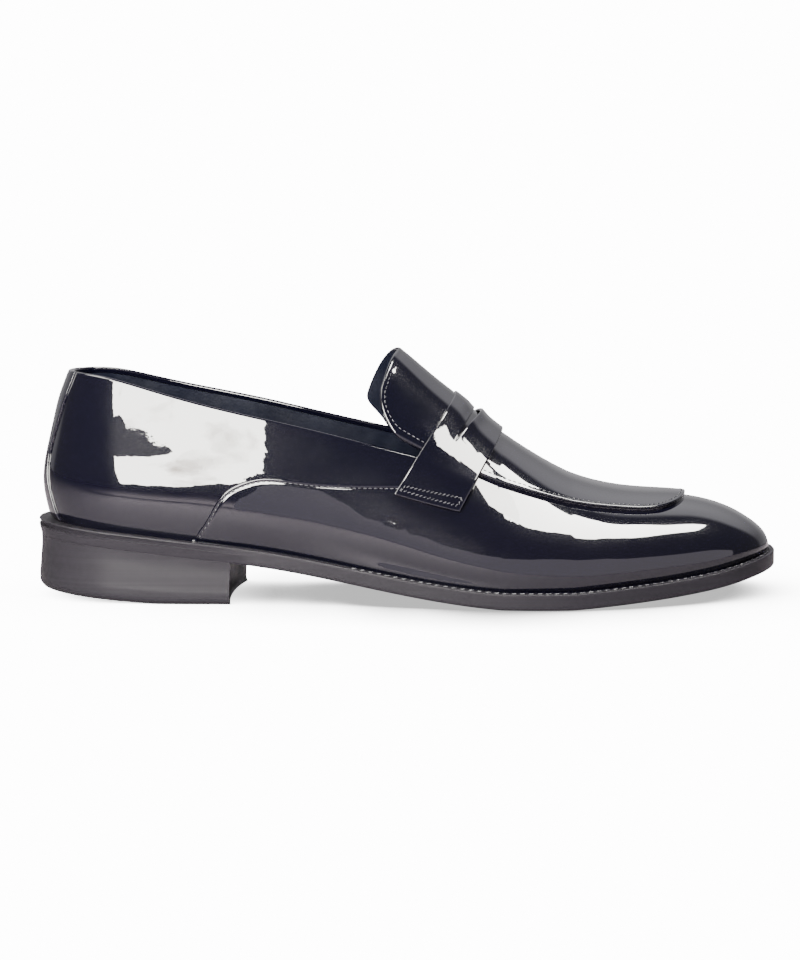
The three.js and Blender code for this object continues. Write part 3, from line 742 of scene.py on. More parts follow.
# %% Shared effects
def effect_group(name, inputs, outputs):
    group = bpy.data.node_groups.new(name, "ShaderNodeTree")
    for label, kind, value in inputs:
        socket = group.interface.new_socket(label, in_out="INPUT", socket_type=kind)
        if value is not None:
            socket.default_value = value
    for label, kind in outputs:
        group.interface.new_socket(label, in_out="OUTPUT", socket_type=kind)
    return group, group.nodes.new("NodeGroupInput"), group.nodes.new("NodeGroupOutput")


def waviness_group():
    group, given, result = effect_group(
        "waviness",
        [
            ("Vector", "NodeSocketVector", None),
            ("Scale", "NodeSocketFloat", 60.0),
            ("Depth", "NodeSocketFloat", 0.0001),
            ("Fine Scale", "NodeSocketFloat", 900.0),
            ("Fine Depth", "NodeSocketFloat", 0.000002),
        ],
        [("Normal", "NodeSocketVector")],
    )
    before = None
    for scale, depth in (("Scale", "Depth"), ("Fine Scale", "Fine Depth")):
        noise, bump = add(group, "ShaderNodeTexNoise", Detail=1.0), add(group, "ShaderNodeBump")
        wire(
            group,
            (given, "Vector", noise, "Vector"),
            (given, scale, noise, "Scale"),
            (noise, "Fac", bump, "Height"),
            (given, depth, bump, "Distance"),
        )
        if before:
            wire(group, (before, "Normal", bump, "Normal"))
        before = bump
    wire(group, (before, "Normal", result, "Normal"))
    return group


def smudge_group():
    group, given, result = effect_group(
        "smudges",
        [
            ("Vector", "NodeSocketVector", None),
            ("Scale", "NodeSocketFloat", 25.0),
            ("Low", "NodeSocketFloat", 0.0),
            ("High", "NodeSocketFloat", 1.0),
        ],
        [("Value", "NodeSocketFloat")],
    )
    noise = add(group, "ShaderNodeTexNoise", Detail=5.0, Roughness=0.6)
    spread = add(group, "ShaderNodeMapRange", From_Min=0.35, From_Max=0.7)
    wire(
        group,
        (given, "Vector", noise, "Vector"),
        (given, "Scale", noise, "Scale"),
        (noise, "Fac", spread, "Value"),
        (given, "Low", spread, "To Min"),
        (given, "High", spread, "To Max"),
        (spread, "Result", result, "Value"),
    )
    return group


WAVINESS = waviness_group()
SMUDGES = smudge_group()


class Finish:
    """A material with its Principled shader: a clouded colour and a roughness that varies."""

    def __init__(self, name, haze, **values):
        self.material = new_material(name)
        self.tree = self.material.node_tree
        self.shader = self.tree.nodes["Principled BSDF"]
        self.place = add(self.tree, "ShaderNodeTexCoord")
        for label, value in values.items():
            self.shader.inputs[label.replace("_", " ")].default_value = value
        scale, low, high = haze
        smudges = self.effect(SMUDGES, Scale=scale, Low=low, High=high)
        wire(self.tree, (smudges, "Value", self.shader, "Roughness"))

    def effect(self, group, **values):
        node = self.tree.nodes.new("ShaderNodeGroup")
        node.node_tree = group
        for label, value in values.items():
            node.inputs[label.replace("_", " ")].default_value = value
        wire(self.tree, (self.place, "Object", node, "Vector"))
        return node

    def colours(self, source, output, first, second):
        blend = self.tree.nodes.new("ShaderNodeMix")
        blend.data_type = "RGBA"
        blend.inputs[6].default_value = (*first, 1.0)
        blend.inputs[7].default_value = (*second, 1.0)
        wire(self.tree, (source, output, blend, 0), (blend, 2, self.shader, "Base Color"))

    def wavy(self, scale, depth, fine_scale, fine_depth, sockets=("Normal",)):
        wave = self.effect(WAVINESS, Scale=scale, Depth=depth, Fine_Scale=fine_scale, Fine_Depth=fine_depth)
        wire(self.tree, *((wave, "Normal", self.shader, socket) for socket in sockets))


print("shared effects ready")


# %% Patent, lining, sole and thread
def clouded(name, scale, first, second, haze, wave, **values):
    finish = Finish(name, haze, **values)
    finish.colours(finish.effect(SMUDGES, Scale=scale), "Value", first, second)
    finish.wavy(*wave)
    return finish.material


def edge_finish():
    finish = Finish("trimmed_edge", (70.0, 0.36, 0.5), Specular_IOR_Level=0.1)
    tree = finish.tree
    stretch = add(tree, "ShaderNodeMapping", Scale=(6.0, 6.0, 900.0))
    lines = add(tree, "ShaderNodeTexNoise", Scale=1.0, Detail=3.0)
    faint = maths(tree, "MULTIPLY", 0.35)
    bump = add(tree, "ShaderNodeBump", Distance=0.00002, Strength=0.6)
    wire(
        tree,
        (finish.place, "Object", stretch, "Vector"),
        (stretch, "Vector", lines, "Vector"),
        (lines, "Fac", faint, 0),
        (lines, "Fac", bump, "Height"),
        (bump, "Normal", finish.shader, "Normal"),
    )
    finish.colours(faint, 0, (0.0105, 0.0097, 0.0120), (0.031, 0.028, 0.034))
    return finish.material


PATENT = clouded(
    "patent_leather",
    18.0,
    (0.0011, 0.0011, 0.0036),
    (0.0018, 0.0016, 0.0043),
    (40.0, 0.16, 0.3),
    (48.0, 0.00016, 700.0, 0.000003, ("Normal", "Coat Normal")),
    Coat_Weight=1.0,
    Coat_Roughness=0.012,
    Coat_IOR=1.52,
    IOR=1.45,
    Specular_IOR_Level=0.02,
)
LINING = clouded(
    "lining_leather",
    60.0,
    (0.0026, 0.0032, 0.0075), (0.0045, 0.0055, 0.0115), (120.0, 0.38, 0.56),
    (300.0, 0.00008, 1600.0, 0.00006),
    Specular_IOR_Level=0.2,
)
EDGE = edge_finish()
TREAD = clouded(
    "sole_underside",
    45.0,
    (0.012, 0.012, 0.014), (0.028, 0.027, 0.03), (80.0, 0.55, 0.75),
    (500.0, 0.0001, 2200.0, 0.00006),
)
THREAD = clouded(
    "waxed_thread",
    900.0,
    (0.006, 0.006, 0.009), (0.03, 0.03, 0.034), (700.0, 0.3, 0.45),
    (2500.0, 0.0001, 5000.0, 0.00003),
)
print("finishes:", [m.name for m in (PATENT, LINING, EDGE, TREAD, THREAD)])

# %% [markdown]
# ## Vamp seam and collar line
# The vamp covers the front of the shoe and sends a wing back along each side. Its edge laps over
# the quarter, which covers the heel. Both lines are drawn in side view first.

# %% Wing edge and collar height
WING_MARKS = np.array(
    [
        (0.207, -0.1), (0.214, 0.05), (0.227, 0.153), (0.239, 0.268), (0.255, 0.367),
        (0.279, 0.44), (0.301, 0.48), (0.323, 0.495), (0.372, 0.515), (0.481, 0.61),
        (0.56, 0.7), (0.6, 0.79),
    ]
)
THROAT_START = 0.517 * LENGTH


def wing_path(count):
    stations = WING_MARKS[:, 0] * LENGTH
    marks = np.stack([stations, WING_MARKS[:, 1] * QUARTER + sole_top(stations)], 1)
    lengths = way_along(marks)
    at = np.linspace(0, lengths[-1], count)
    return Curve(lengths, marks[:, 0])(at), Curve(lengths, marks[:, 1])(at)


def collar_height(x, side):
    share = np.minimum(x, THROAT_START) / LENGTH
    line = np.where(np.asarray(side) < 0, collar["lateral"](share), collar["medial"](share)) * QUARTER
    climb = np.maximum(x - THROAT_START, 0)
    return np.minimum(sole_top(np.minimum(x, THROAT_START)) + line + climb, ridge_height(fan_centre(x)) - 4)


print("wing edge drawn over", round(float(np.ptp(wing_path(50)[0]))), "mm")

# %% [markdown]
# ## Apron and tongue
# One piece of leather lies on the vamp and runs back into the free tongue. It is cut in plan, so its
# outline is a rule in plan: how far back each row curls, how wide it is, and a round front.

# %% Apron outline
apron = table(
    ("ridge", "lateralBack", "lateralWidth", "medialBack", "medialWidth"),
    [
        (0.0, 0.4835, 0.021, 0.222, 0.0385, 0.17), (0.04, 0.488, 0.0246, 0.25, 0.0442, 0.181),
        (0.1, 0.504, 0.027, 0.285, 0.0442, 0.193), (0.16, 0.521, 0.0292, 0.297, 0.046, 0.208),
        (0.24, 0.545, 0.0319, 0.304, 0.043, 0.235), (0.42, 0.6233, 0.0283, 0.327, 0.03, 0.29),
        (0.58, 0.69, 0.0247, 0.332, 0.0247, 0.3), (0.78, 0.7733, 0.0163, 0.299, 0.0163, 0.285),
        (0.9, 0.833, 0.006, 0.264, 0.006, 0.264), (1.0, 0.878, 0.0, 0.255, 0.0, 0.255),
    ],
)
APRON_FRONT, APRON_POWER, APRON_SKEW = 0.810, 2.5, 0.033
TONGUE_CURL = 1.5
APRON_TOP = 2.1


def apron_plan(row, across):
    row, across = same_shape(row, across)
    side, t = np.where(across < 0, -1.0, 1.0), np.abs(across)
    centre = apron["ridge"](row)
    back = np.where(side < 0, apron["lateralBack"](row), apron["medialBack"](row))
    width = np.where(side < 0, apron["lateralWidth"](row), apron["medialWidth"](row))
    front = np.clip((centre - APRON_FRONT) / (apron["ridge"](1.0) - APRON_FRONT), 0, 1)
    reach = side * width * np.maximum(1 - front**APRON_POWER, 0) ** (1 / APRON_POWER) * t
    x = (centre - back * t**TONGUE_CURL + APRON_SKEW * front * reach) * LENGTH
    return np.stack([x, spine_at(fan_centre(x)) + reach * BALL_WIDTH], -1)


def apron_rows(rear_rows, front_rows):
    """Rows along the apron: fine at the tongue's free end, and even steps round the front."""
    start = bisect(np.zeros(1), np.ones(1), lambda r: apron["ridge"](r) < APRON_FRONT)[0]
    rear_end = EDGE_STEPS / 35.0
    rear = np.concatenate([rear_end, np.linspace(rear_end[-1], start, rear_rows)[1:]])
    turn = np.linspace(0, RIGHT_ANGLE, front_rows + 1)[1:]
    front = APRON_FRONT + (apron["ridge"](1.0) - APRON_FRONT) * np.sin(turn) ** (2 / APRON_POWER)
    fore = bisect(np.full(front.shape, start), np.ones(front.shape), lambda r: apron["ridge"](r) < front)
    fore[-1] = 1.0
    return np.concatenate([rear, fore])


APRON_HALF = 32.0


def apron_columns(inner):
    side = 1 - np.concatenate([EDGE_STEPS, np.linspace(EDGE_STEPS[-1], APRON_HALF, inner)[1:]]) / APRON_HALF
    return np.concatenate([-side, side[::-1][1:]])


APRON_ROWS = apron_rows(110, 60)
APRON_COLUMNS = apron_columns(26)


def apron_outline():
    lateral, medial = apron_plan(APRON_ROWS, -1.0), apron_plan(APRON_ROWS, 1.0)
    rear = apron_plan(APRON_ROWS[0], APRON_COLUMNS[::-1][1:-1])
    return np.concatenate([lateral, medial[::-1][1:], rear, lateral[:1]])


def drawn_in(line, inset):
    """A closed plan line moved inward by an inset."""
    around = np.roll(line[:-1], -1, axis=0) - np.roll(line[:-1], 1, axis=0)
    inward = unit(np.stack([-around[:, 1], around[:, 0]], -1))
    moved = line[:-1] + inward * inset
    return np.concatenate([moved, moved[:1]])


APRON_LINE = apron_outline()
print("apron outline has", len(APRON_LINE), "points")


# %% Apron sheet
APRON_RIM = 0.55
APRON_SEAM, WING_SEAM, SEAM_SPREAD = 1.5, 1.35, 0.45
TONGUE_LIFT, LIFT_START, LIFT_RAMP, LIFT_STOP, LIFT_FALL = 0.9, 132.0, 34.0, 166.0, 9.0
TONGUE_FREE = 0.16
GROOVE = [(0.0, 1.42), (0.05, 1.30), (0.32, 1.22), (0.32, 1.12), (0.05, 1.04), (0.0, 0.92)]


def apron_layer(place, offset):
    x, side, angle = by_plan(place[..., 0], place[..., 1])
    px = place[..., 0]
    before_strap = smooth((px - LIFT_START) / LIFT_RAMP) * (1 - smooth((px - LIFT_STOP) / LIFT_FALL))
    return raised(x, side, angle, offset + TONGUE_LIFT * before_strap * smooth((angle - 0.8) / 0.4))


def make_apron():
    place = apron_plan(APRON_ROWS[:, None], APRON_COLUMNS[None])
    distance = edge_distance(place, APRON_LINE)
    seam = 0.04 * np.exp(-(((distance - APRON_SEAM) / SEAM_SPREAD) ** 2)) * (distance > 0.6)
    top = apron_layer(place, APRON_TOP - rounding(distance, APRON_RIM) - seam)
    free = smooth((APRON_ROWS - TONGUE_FREE) / 0.05)[:, None] + 0 * APRON_COLUMNS
    floor_offset = mix(0.35, -0.05, free)
    under = apron_layer(place, floor_offset)
    skin = Skin()
    skin.grid(top)
    skin.grid(under[:, ::-1], finish=1)
    rear = floor_offset[0, ::-1][1:-1]
    low = np.concatenate([floor_offset[:, 0], floor_offset[::-1, -1][1:], rear, floor_offset[:1, 0]])
    walls = [apron_layer(APRON_LINE, APRON_TOP - APRON_RIM + 0 * low)]
    walls += [apron_layer(drawn_in(APRON_LINE, inset), level + 0 * low) for inset, level in GROOVE]
    walls.append(apron_layer(APRON_LINE, low))
    skin.grid(np.stack(walls))
    skin.build("apron_and_tongue", [PATENT, LINING], ["apron_tongue"])


make_apron()

# %% [markdown]
# ## Vamp
# The vamp is a thin sheet on the last. Its grid starts at the wing's edge, passes under the apron to
# the toe, and runs down to the welt, so that rows lie close together where the edge is rounded.

# %% Vamp sheet
FEATHER_TUCK = 0.7
APRON_LAP = 4.0
VAMP_THICK = 1.0
COVER_START = 140.0
ANGLE_ARM = 60.0
FOOT_LEAD = 12.0


def signed_inside(place, outline):
    """Distance from the apron's outline, positive inside it."""
    px, py = place[..., 0], place[..., 1]
    inside = np.zeros(px.shape, bool)
    for (ax, ay), (bx, by) in zip(outline[:-1], outline[1:]):
        crosses = (ay > py) != (by > py)
        with np.errstate(divide="ignore", invalid="ignore"):
            inside ^= crosses & (px < (bx - ax) * (py - ay) / (by - ay) + ax)
    return np.where(inside, 1, -1) * edge_distance(place, outline)


def hidden_angle(stations, side):
    """Lowest angle at which each station is well inside the apron's outline."""
    angles = np.linspace(0.35, RIGHT_ANGLE, 150)
    points = last_point(stations[:, None], side, angles[None])[..., :2]
    depth = signed_inside(points, APRON_LINE[::3])
    first = np.argmax(depth > APRON_LAP, axis=1)
    found = (depth > APRON_LAP).any(axis=1)
    return np.where(found, angles[first], RIGHT_ANGLE)


def vamp_top(side):
    """Stations and angles along the vamp's upper boundary, and how many belong to the wing's edge."""
    wing_x, wing_z = wing_path(260)
    wing_angle = angle_at_height(wing_x, side, np.maximum(wing_z, sole_top(wing_x) + JOINT))
    stations = np.linspace(COVER_START, LENGTH, 160)
    covered = Curve(stations[::4], hidden_angle(stations, side)[::4])
    reached = (wing_x > COVER_START) & (wing_angle > covered(np.maximum(wing_x, COVER_START)))
    stop = int(np.argmax(reached)) if reached.any() else len(wing_x) - 1
    rest = np.linspace(wing_x[stop], LENGTH, 170)[1:]
    x = np.concatenate([wing_x[:stop], [wing_x[stop]], rest])
    angle = np.concatenate([wing_angle[: stop + 1], covered(rest)])
    return x, angle, stop


def vamp_side(side):
    x, angle, stop = vamp_top(side)
    run = way_along(np.stack([x, ANGLE_ARM * angle], 1))
    share = run / run[-1]
    foot = mix(x[0], LENGTH, share**0.9)
    foot = np.maximum(foot, x + FOOT_LEAD * smooth(share / 0.06) * (1 - smooth((share - 0.1) / 0.6)))
    foot = np.minimum(foot, LENGTH)
    lengths = np.linalg.norm(last_point(x, side, angle) - last_point(foot, side, 0.0), axis=1) + 1e-3
    q = toward_edge(lengths, 46) / lengths[:, None]
    return x, angle, stop, mix(x[:, None], foot[:, None], q), angle[:, None] * (1 - q)


def vamp_offsets(points, edge):
    distance = edge_distance(points, edge)
    seam = 0.14 * np.exp(-(((distance - WING_SEAM) / SEAM_SPREAD) ** 2))
    return -rounding(distance, 0.5) - seam


def make_vamp():
    skin = Skin()
    tops = []
    halves = [vamp_side(side) for side in (-1.0, 1.0)]
    toe_angles = (halves[0][4][-1] + halves[1][4][-1]) / 2
    for side, (x, angle, stop, grid_x, grid_angle) in zip((-1.0, 1.0), halves):
        grid_angle[-1] = toe_angles
        edge = last_point(x[: stop + 1], side, angle[: stop + 1])[::3]
        offset = vamp_offsets(last_point(grid_x, side, grid_angle), edge)
        outer = raised(grid_x, side, grid_angle, offset)
        inner = raised(grid_x, side, grid_angle, -VAMP_THICK)
        for layer in (outer, inner):
            tuck = layer[:, -1:].copy()
            tuck[..., 2] -= FEATHER_TUCK
            tops.append(skin.grid(np.concatenate([layer, tuck], 1)))
    for outer, inner in (tops[:2], tops[2:]):
        skin.bridge(outer[:, 0], inner[:, 0])
        skin.bridge(outer[:, -1], inner[:, -1])
        skin.bridge(outer[0], inner[0])
    skin.build("vamp", [PATENT], ["upper"])


make_vamp()

# %% [markdown]
# ## Quarters
# The quarters wrap the heel. At the collar the leather turns over a rounded edge and runs a little
# way down inside, where the lining begins.

# %% Quarters sheet
TURN_RADIUS = 0.9
BODY_STEPS = (3.0, 2.2, 1.6, 1.2, TURN_RADIUS)
QUARTER_BACK = VAMP_STEP + 0.8
QUARTER_END = 186.0
BAND_DEPTH = 2.3


def heel_stations(end, bend_count, straight_count):
    bend = HEEL_END[0] * LENGTH * (1 - np.cos(np.linspace(0, RIGHT_ANGLE, bend_count)) ** (2 / HEEL_END[1]))
    straight = np.linspace(bend[-1], end, straight_count)[1:]
    return np.concatenate([bend, straight])


def around_heel(end, bend_count, straight_count):
    lateral = heel_stations(end, bend_count, straight_count)
    x = np.concatenate([lateral[::-1], lateral[1:]])
    side = np.concatenate([-np.ones(len(lateral)), np.ones(len(lateral) - 1)])
    return x, side


def make_quarters():
    x, side = around_heel(QUARTER_END, 60, 150)
    top = collar_height(x, side)

    def row_at(height, offset):
        return raised(x, side, angle_at_height(x, side, height), offset)

    first = angle_at_height(x, side, top - BODY_STEPS[0])
    rows = [raised(x, side, first * share, -VAMP_STEP) for share in np.linspace(0, 1, 56)]
    rows += [row_at(top - step, -VAMP_STEP) for step in BODY_STEPS[1:]]
    for turn in np.linspace(0, math.pi, 15)[1:]:
        level = top - TURN_RADIUS + TURN_RADIUS * math.sin(turn)
        rows.append(row_at(level, -VAMP_STEP - TURN_RADIUS * (1 - math.cos(turn))))
    inside = -VAMP_STEP - 2 * TURN_RADIUS
    rows += [row_at(top - step, inside) for step in np.linspace(TURN_RADIUS, BAND_DEPTH - 0.25, 5)[1:]]
    for step, lift in ((BAND_DEPTH - 0.08, 0.1), (BAND_DEPTH, 0.35), (BAND_DEPTH, 0.7)):
        rows.append(row_at(top - step, inside + lift))
    back = angle_at_height(x, side, top - BAND_DEPTH - 0.2)
    rows += [raised(x, side, back * share, -QUARTER_BACK) for share in np.linspace(1, 0, 16)]
    for end in (0, -1):
        rows[end][:, 2] -= FEATHER_TUCK
    grid = np.stack(rows)
    skin = Skin()
    index = skin.grid(np.concatenate([grid, grid[:1]]))
    for end in (0, -1):
        loop = index[:-1, end]
        count = (len(loop) + 1) // 2
        skin.bridge(loop[:count], loop[::-1][:count])
    skin.build("quarters", [PATENT], ["upper"])


make_quarters()

# %% [markdown]
# ## Lining
# Inside, a thin dark leather lining follows the same surface from below the collar band to the toe.

# %% Lining sheet
LINING_OUT, LINING_IN = -2.0, -2.62
LINING_FRONT = 240.0


def make_lining():
    half = [heel_stations(LINING_FRONT, 40, 120), np.linspace(LINING_FRONT, LENGTH, 40)[1:]]
    x, side = there_and_back(np.concatenate(half))
    open_top = angle_at_height(x, side, collar_height(x, side) - BAND_DEPTH - 0.15)
    closing = smooth((x - THROAT_START - 8) / 24.0)
    top = mix(open_top, RIGHT_ANGLE, closing)
    rows = [raised(x, side, top * share, LINING_IN) for share in np.linspace(0, 1, 44)]
    rows += [raised(x, side, top * share, LINING_OUT) for share in np.linspace(1, 0, 16)]
    grid = np.stack(rows)
    skin = Skin()
    skin.grid(np.concatenate([grid, grid[:1]]), closed=True)
    skin.build("lining", [LINING], ["upper"])


make_lining()

# %% [markdown]
# ## Insole
# The sock that the foot stands on: a thin leather sheet with a rounded edge, slightly dished.

# %% Insole sheet
def make_insole():
    half = (1 - np.cos(np.linspace(0, math.pi, 150))) / 2 * LENGTH
    across = np.linspace(-1, 1, 41)
    wall = section["margin"](half / LENGTH) * FEATHER + VAMP_STEP + WALL - 0.1
    layers = []
    for height, edge in ((2.2, 0.5), (0.0, 0.0)):
        rows = []
        for t in across:
            side = -1.0 if t < 0 else 1.0
            ex, ey = outline_at(half, side, wall)
            y = mix(spine_at(half), ey, abs(t))
            dish = 0.6 * (1 - t * t) if height else 0.0
            fall = edge * smooth((abs(t) - 0.9) / 0.1) if height else 0.0
            rows.append(np.stack([ex, y, sole_top(ex) + JOINT + height - dish - fall], -1))
        layers.append(np.stack(rows, 1))
    skin = Skin()
    top = skin.grid(layers[0])
    low = skin.grid(layers[1][:, ::-1])[:, ::-1]
    for edge in (0, -1):
        skin.bridge(top[:, edge], low[:, edge])
    skin.build("sock", [LINING], ["insole"])


make_insole()

# %% [markdown]
# ## Saddle strap
# A band lies across the instep over the apron, sewn down at both ends, with a leaf-shaped slot.

# %% Strap sheet
STRAP_REAR = (0.5575, 0.662, 0.378)
STRAP_FRONT = (0.6215, 0.602, 0.347)
SLOT_REACH, SLOT_WIDTH, SLOT_PLACE, SLOT_BOW = 0.57, 0.11, 0.40, 0.07
STRAP_CLIMB, STRAP_LEAD = 15.0, 3.4
OVERLAY_GAP, APRON_THICK, STRAP_THICK = 0.4, 1.7, 1.4


def apron_edge_tables():
    rows = np.linspace(0.1, 1.0, 240)
    tables = {}
    for side in (-1.0, 1.0):
        place = apron_plan(rows, side)
        x, which, angle = by_plan(place[:, 0], place[:, 1])
        tables[side] = place[:, 0], last_point(x, which, angle)[:, 2]
    return tables


APRON_EDGE = apron_edge_tables()


def strap_place(share, across):
    share, across = same_shape(share, across)
    side = np.where(across < 0, -1.0, 1.0)
    ridge_x, lean, end = (mix(a, b, share) for a, b in zip(STRAP_REAR, STRAP_FRONT))
    ridge_x, end = ridge_x * LENGTH, end * INSTEP
    top = ridge_height(ridge_x)
    end_x = ridge_x
    for _ in range(20):
        end_x = ridge_x - lean * (top - sole_top(end_x) - end)
    end_angle = angle_at_height(end_x, side, sole_top(end_x) + end)
    angle = mix(RIGHT_ANGLE, end_angle, np.abs(across))
    x = ridge_x
    for _ in range(30):
        x = (x + ridge_x - lean * (top - last_point(x, side, angle)[..., 2])) / 2
    edge = np.where(side < 0, *(np.interp(x, *APRON_EDGE[s]) for s in (-1.0, 1.0))) - STRAP_LEAD
    climb = smooth((last_point(x, side, angle)[..., 2] - edge + STRAP_CLIMB) / STRAP_CLIMB)
    return x, side, angle, OVERLAY_GAP + climb * (OVERLAY_GAP + APRON_THICK)


def slot_half(across):
    t = np.abs(across) / SLOT_REACH
    return np.where(t >= 1, 0.0, SLOT_WIDTH / 2 * (1 - np.minimum(t, 1) ** 1.6))


def slot_middle(across):
    return SLOT_PLACE + SLOT_BOW * smooth(1 - np.abs(across) / SLOT_REACH)


def strap_lines():
    across = np.linspace(-1, 1, 161)
    share = np.linspace(0, 1, 30)
    rim = np.concatenate(
        [
            np.stack([0 * across, across], 1),
            np.stack([share, 1 + 0 * share], 1)[1:],
            np.stack([1 + 0 * across, across[::-1]], 1)[1:],
            np.stack([share[::-1], -1 + 0 * share], 1)[1:],
        ]
    )
    inner = np.linspace(-SLOT_REACH, SLOT_REACH, 81)
    middle, half = slot_middle(inner), slot_half(inner)
    slot = np.concatenate([np.stack([middle - half, inner], 1), np.stack([middle + half, inner], 1)[::-1]])
    return [last_point(*strap_place(line[:, 0], line[:, 1])[:3]) for line in (rim, slot)]


def strap_grid(start, end):
    steps = np.concatenate([[0, 0.006, 0.016, 0.03, 0.05, 0.08, 0.12], np.linspace(0.17, 0.83, 16)])
    rows = np.concatenate([steps, 1 - steps[:7][::-1]])
    edge = np.array([0, 0.0012, 0.003, 0.006, 0.01, 0.015, 0.022])
    across = np.concatenate([-1 + edge, np.linspace(-0.97, 0.97, 230), (1 - edge)[::-1]])
    share = mix(start(across)[None], end(across)[None], rows[:, None])
    return share, np.broadcast_to(across, share.shape)


def make_strap():
    rim, slot = strap_lines()
    skin = Skin()
    parts = [
        (lambda t: 0 * t, lambda t: slot_middle(t) - slot_half(t), -0.7),
        (lambda t: slot_middle(t) + slot_half(t), lambda t: 0 * t + 1, 0.75),
    ]
    for start, end, lift in parts:
        share, across = strap_grid(start, end)
        x, side, angle, base = strap_place(share, across)
        flat = last_point(x, side, angle)
        near_slot = edge_distance(flat, slot)
        rim_gap = np.minimum(edge_distance(flat, rim), near_slot)
        lip = lift * np.exp(-((near_slot / 3.0) ** 2)) * smooth(1.15 - np.abs(across) / SLOT_REACH)
        body = base + np.maximum(lip, OVERLAY_GAP - base + 0.1)
        top = raised(x, side, angle, body + STRAP_THICK - rounding(rim_gap, 0.45))
        under = raised(x, side, angle, body - 0.35 * (lift < 0))
        top_index = skin.grid(top)
        under_index = skin.grid(under[:, ::-1])[:, ::-1]
        skin.rims(top_index, under_index)
    skin.build("saddle_strap_band", [PATENT], ["saddle_strap"])


make_strap()

# %% [markdown]
# ## Backstay
# A strip covers the seam at the back of the heel. It is waisted: wide at the collar, narrow halfway
# down, wide again at the sole.

# %% Backstay sheet
backstay = table(("half",), [(0.00, 18.7), (0.20, 15.8), (0.42, 12.4), (0.70, 15.6), (1.00, 18.4)])


def make_backstay():
    across = np.concatenate([1 - EDGE_STEPS[:12] / 15.0, np.linspace(0.8, 0, 22)])
    across = np.concatenate([-across, across[::-1][1:]])
    levels = np.linspace(0, 1, 60)
    side = np.where(across < 0, -1.0, 1.0)
    half = backstay["half"](levels)[:, None] * np.abs(across)[None] / (plan["lateral"](0.0) * BALL_WIDTH)
    x = HEEL_END[0] * LENGTH * (1 - (1 - half ** HEEL_END[1]) ** (1 / HEEL_END[1]))
    top = angle_at_height(x, side[None], collar_height(x, side[None]) - 0.55)
    angle = top * levels[:, None]
    gap = backstay["half"](levels)[:, None] * (1 - np.abs(across)[None])
    end_gap = (1 - levels[:, None]) * QUARTER
    fall = rounding(np.minimum(gap, end_gap + 0.1), 0.4)
    outer = raised(x, side[None], angle, -fall)
    inner = raised(x, side[None], angle, -VAMP_STEP - 0.15)
    skin = Skin()
    top_index = skin.grid(outer)
    low_index = skin.grid(inner[:, ::-1])[:, ::-1]
    skin.rims(top_index, low_index)
    skin.build("backstay_strip", [PATENT], ["backstay"])


make_backstay()

# %% [markdown]
# ## Sole
# The outsole and the welt are two flat layers with trimmed, slightly crowned edges. The heel is a
# stack that draws in at its back and has a hollow breast.

# %% Outsole, welt and heel
BOX_GAP = 0.03
HEEL_WAIST, WELT_WIDTH = 0.9, 11.0
HEEL_LENGTH, HEEL_RISE, HEEL_RISE_LENGTH = 80.5, 4.4, 50.0
BREAST_HOLLOW, BREAST_SKEW = 2.4, 3.6
heel_side = table(("inset",), [(0.0, 1.5), (0.06, 0.4), (0.25, 0.0), (0.6, 0.7), (0.85, 1.1), (1.0, 1.0)])


def waist_inset(x):
    return HEEL_WAIST * smooth((0.3 - np.asarray(x) / LENGTH) / 0.15)


def loop_stations(count):
    return there_and_back((1 - np.cos(np.linspace(0, math.pi, count))) / 2 * LENGTH)


def ring(x, side, inset, above):
    px, py = outline_at(x, side, inset + BOX_GAP)
    return np.stack([px, py, sole_under(px) + above], -1)


def cap(skin, row, count):
    """Closes a loop of stations with strips from side to side."""
    lateral = row[:count]
    medial = np.concatenate([row[:1], row[count:][::-1], row[count - 1 : count]])
    skin.bridge(lateral, medial)


def make_outsole():
    count = 260
    x, side = loop_stations(count)
    trim = waist_inset(x)
    profile = [(1.1, 0.0), (0.75, 0.03), (0.45, 0.14), (0.2, 0.36), (0.06, 0.62), (0.0, 0.9)]
    profile += [(0.0, 1.6), (0.0, 2.6), (0.0, 3.5), (0.0, OUTSOLE + 0.1)]
    skin = Skin()
    free = smooth((x - HEEL_LENGTH) / 8)
    rows = [ring(x, side, trim + inset, 0.0) for inset in (12.0, 7.0, 3.0)]
    for inset, above in profile:
        flush = heel_side["inset"](1.0) * HEEL_WAIST * (1 - min(above / OUTSOLE, 1.0))
        rows.append(ring(x, side, mix(flush + inset * 0.1, trim + inset, free), above))
    rows.append(ring(x, side, trim + 6.0, OUTSOLE + 0.1))
    index = skin.grid(np.stack(rows), closed=True)
    cap(skin, index[0], count)
    cap(skin, index[-1], count)
    skin.build("outsole_layer", [EDGE, TREAD], ["outsole"])


def make_welt():
    x, side = loop_stations(260)
    trim = waist_inset(x)
    low = OUTSOLE + 0.1
    high = OUTSOLE + JOINT + WELT
    profile = [(WELT_WIDTH, low), (trim, low), (trim, low + 0.35), (trim * 0.6, low + 1.4)]
    profile += [(0.0, high - 0.5), (0.05, high - 0.25), (0.18, high - 0.08), (0.4, high)]
    profile += [(1.2, high), (2.2, high), (3.4, high), (WELT_WIDTH, high)]
    skin = Skin()
    rows = [ring(x, side, inset, above) for inset, above in profile]
    skin.grid(np.stack(rows + rows[:1]), closed=True)
    skin.build("welt_strip", [EDGE], ["welt"])


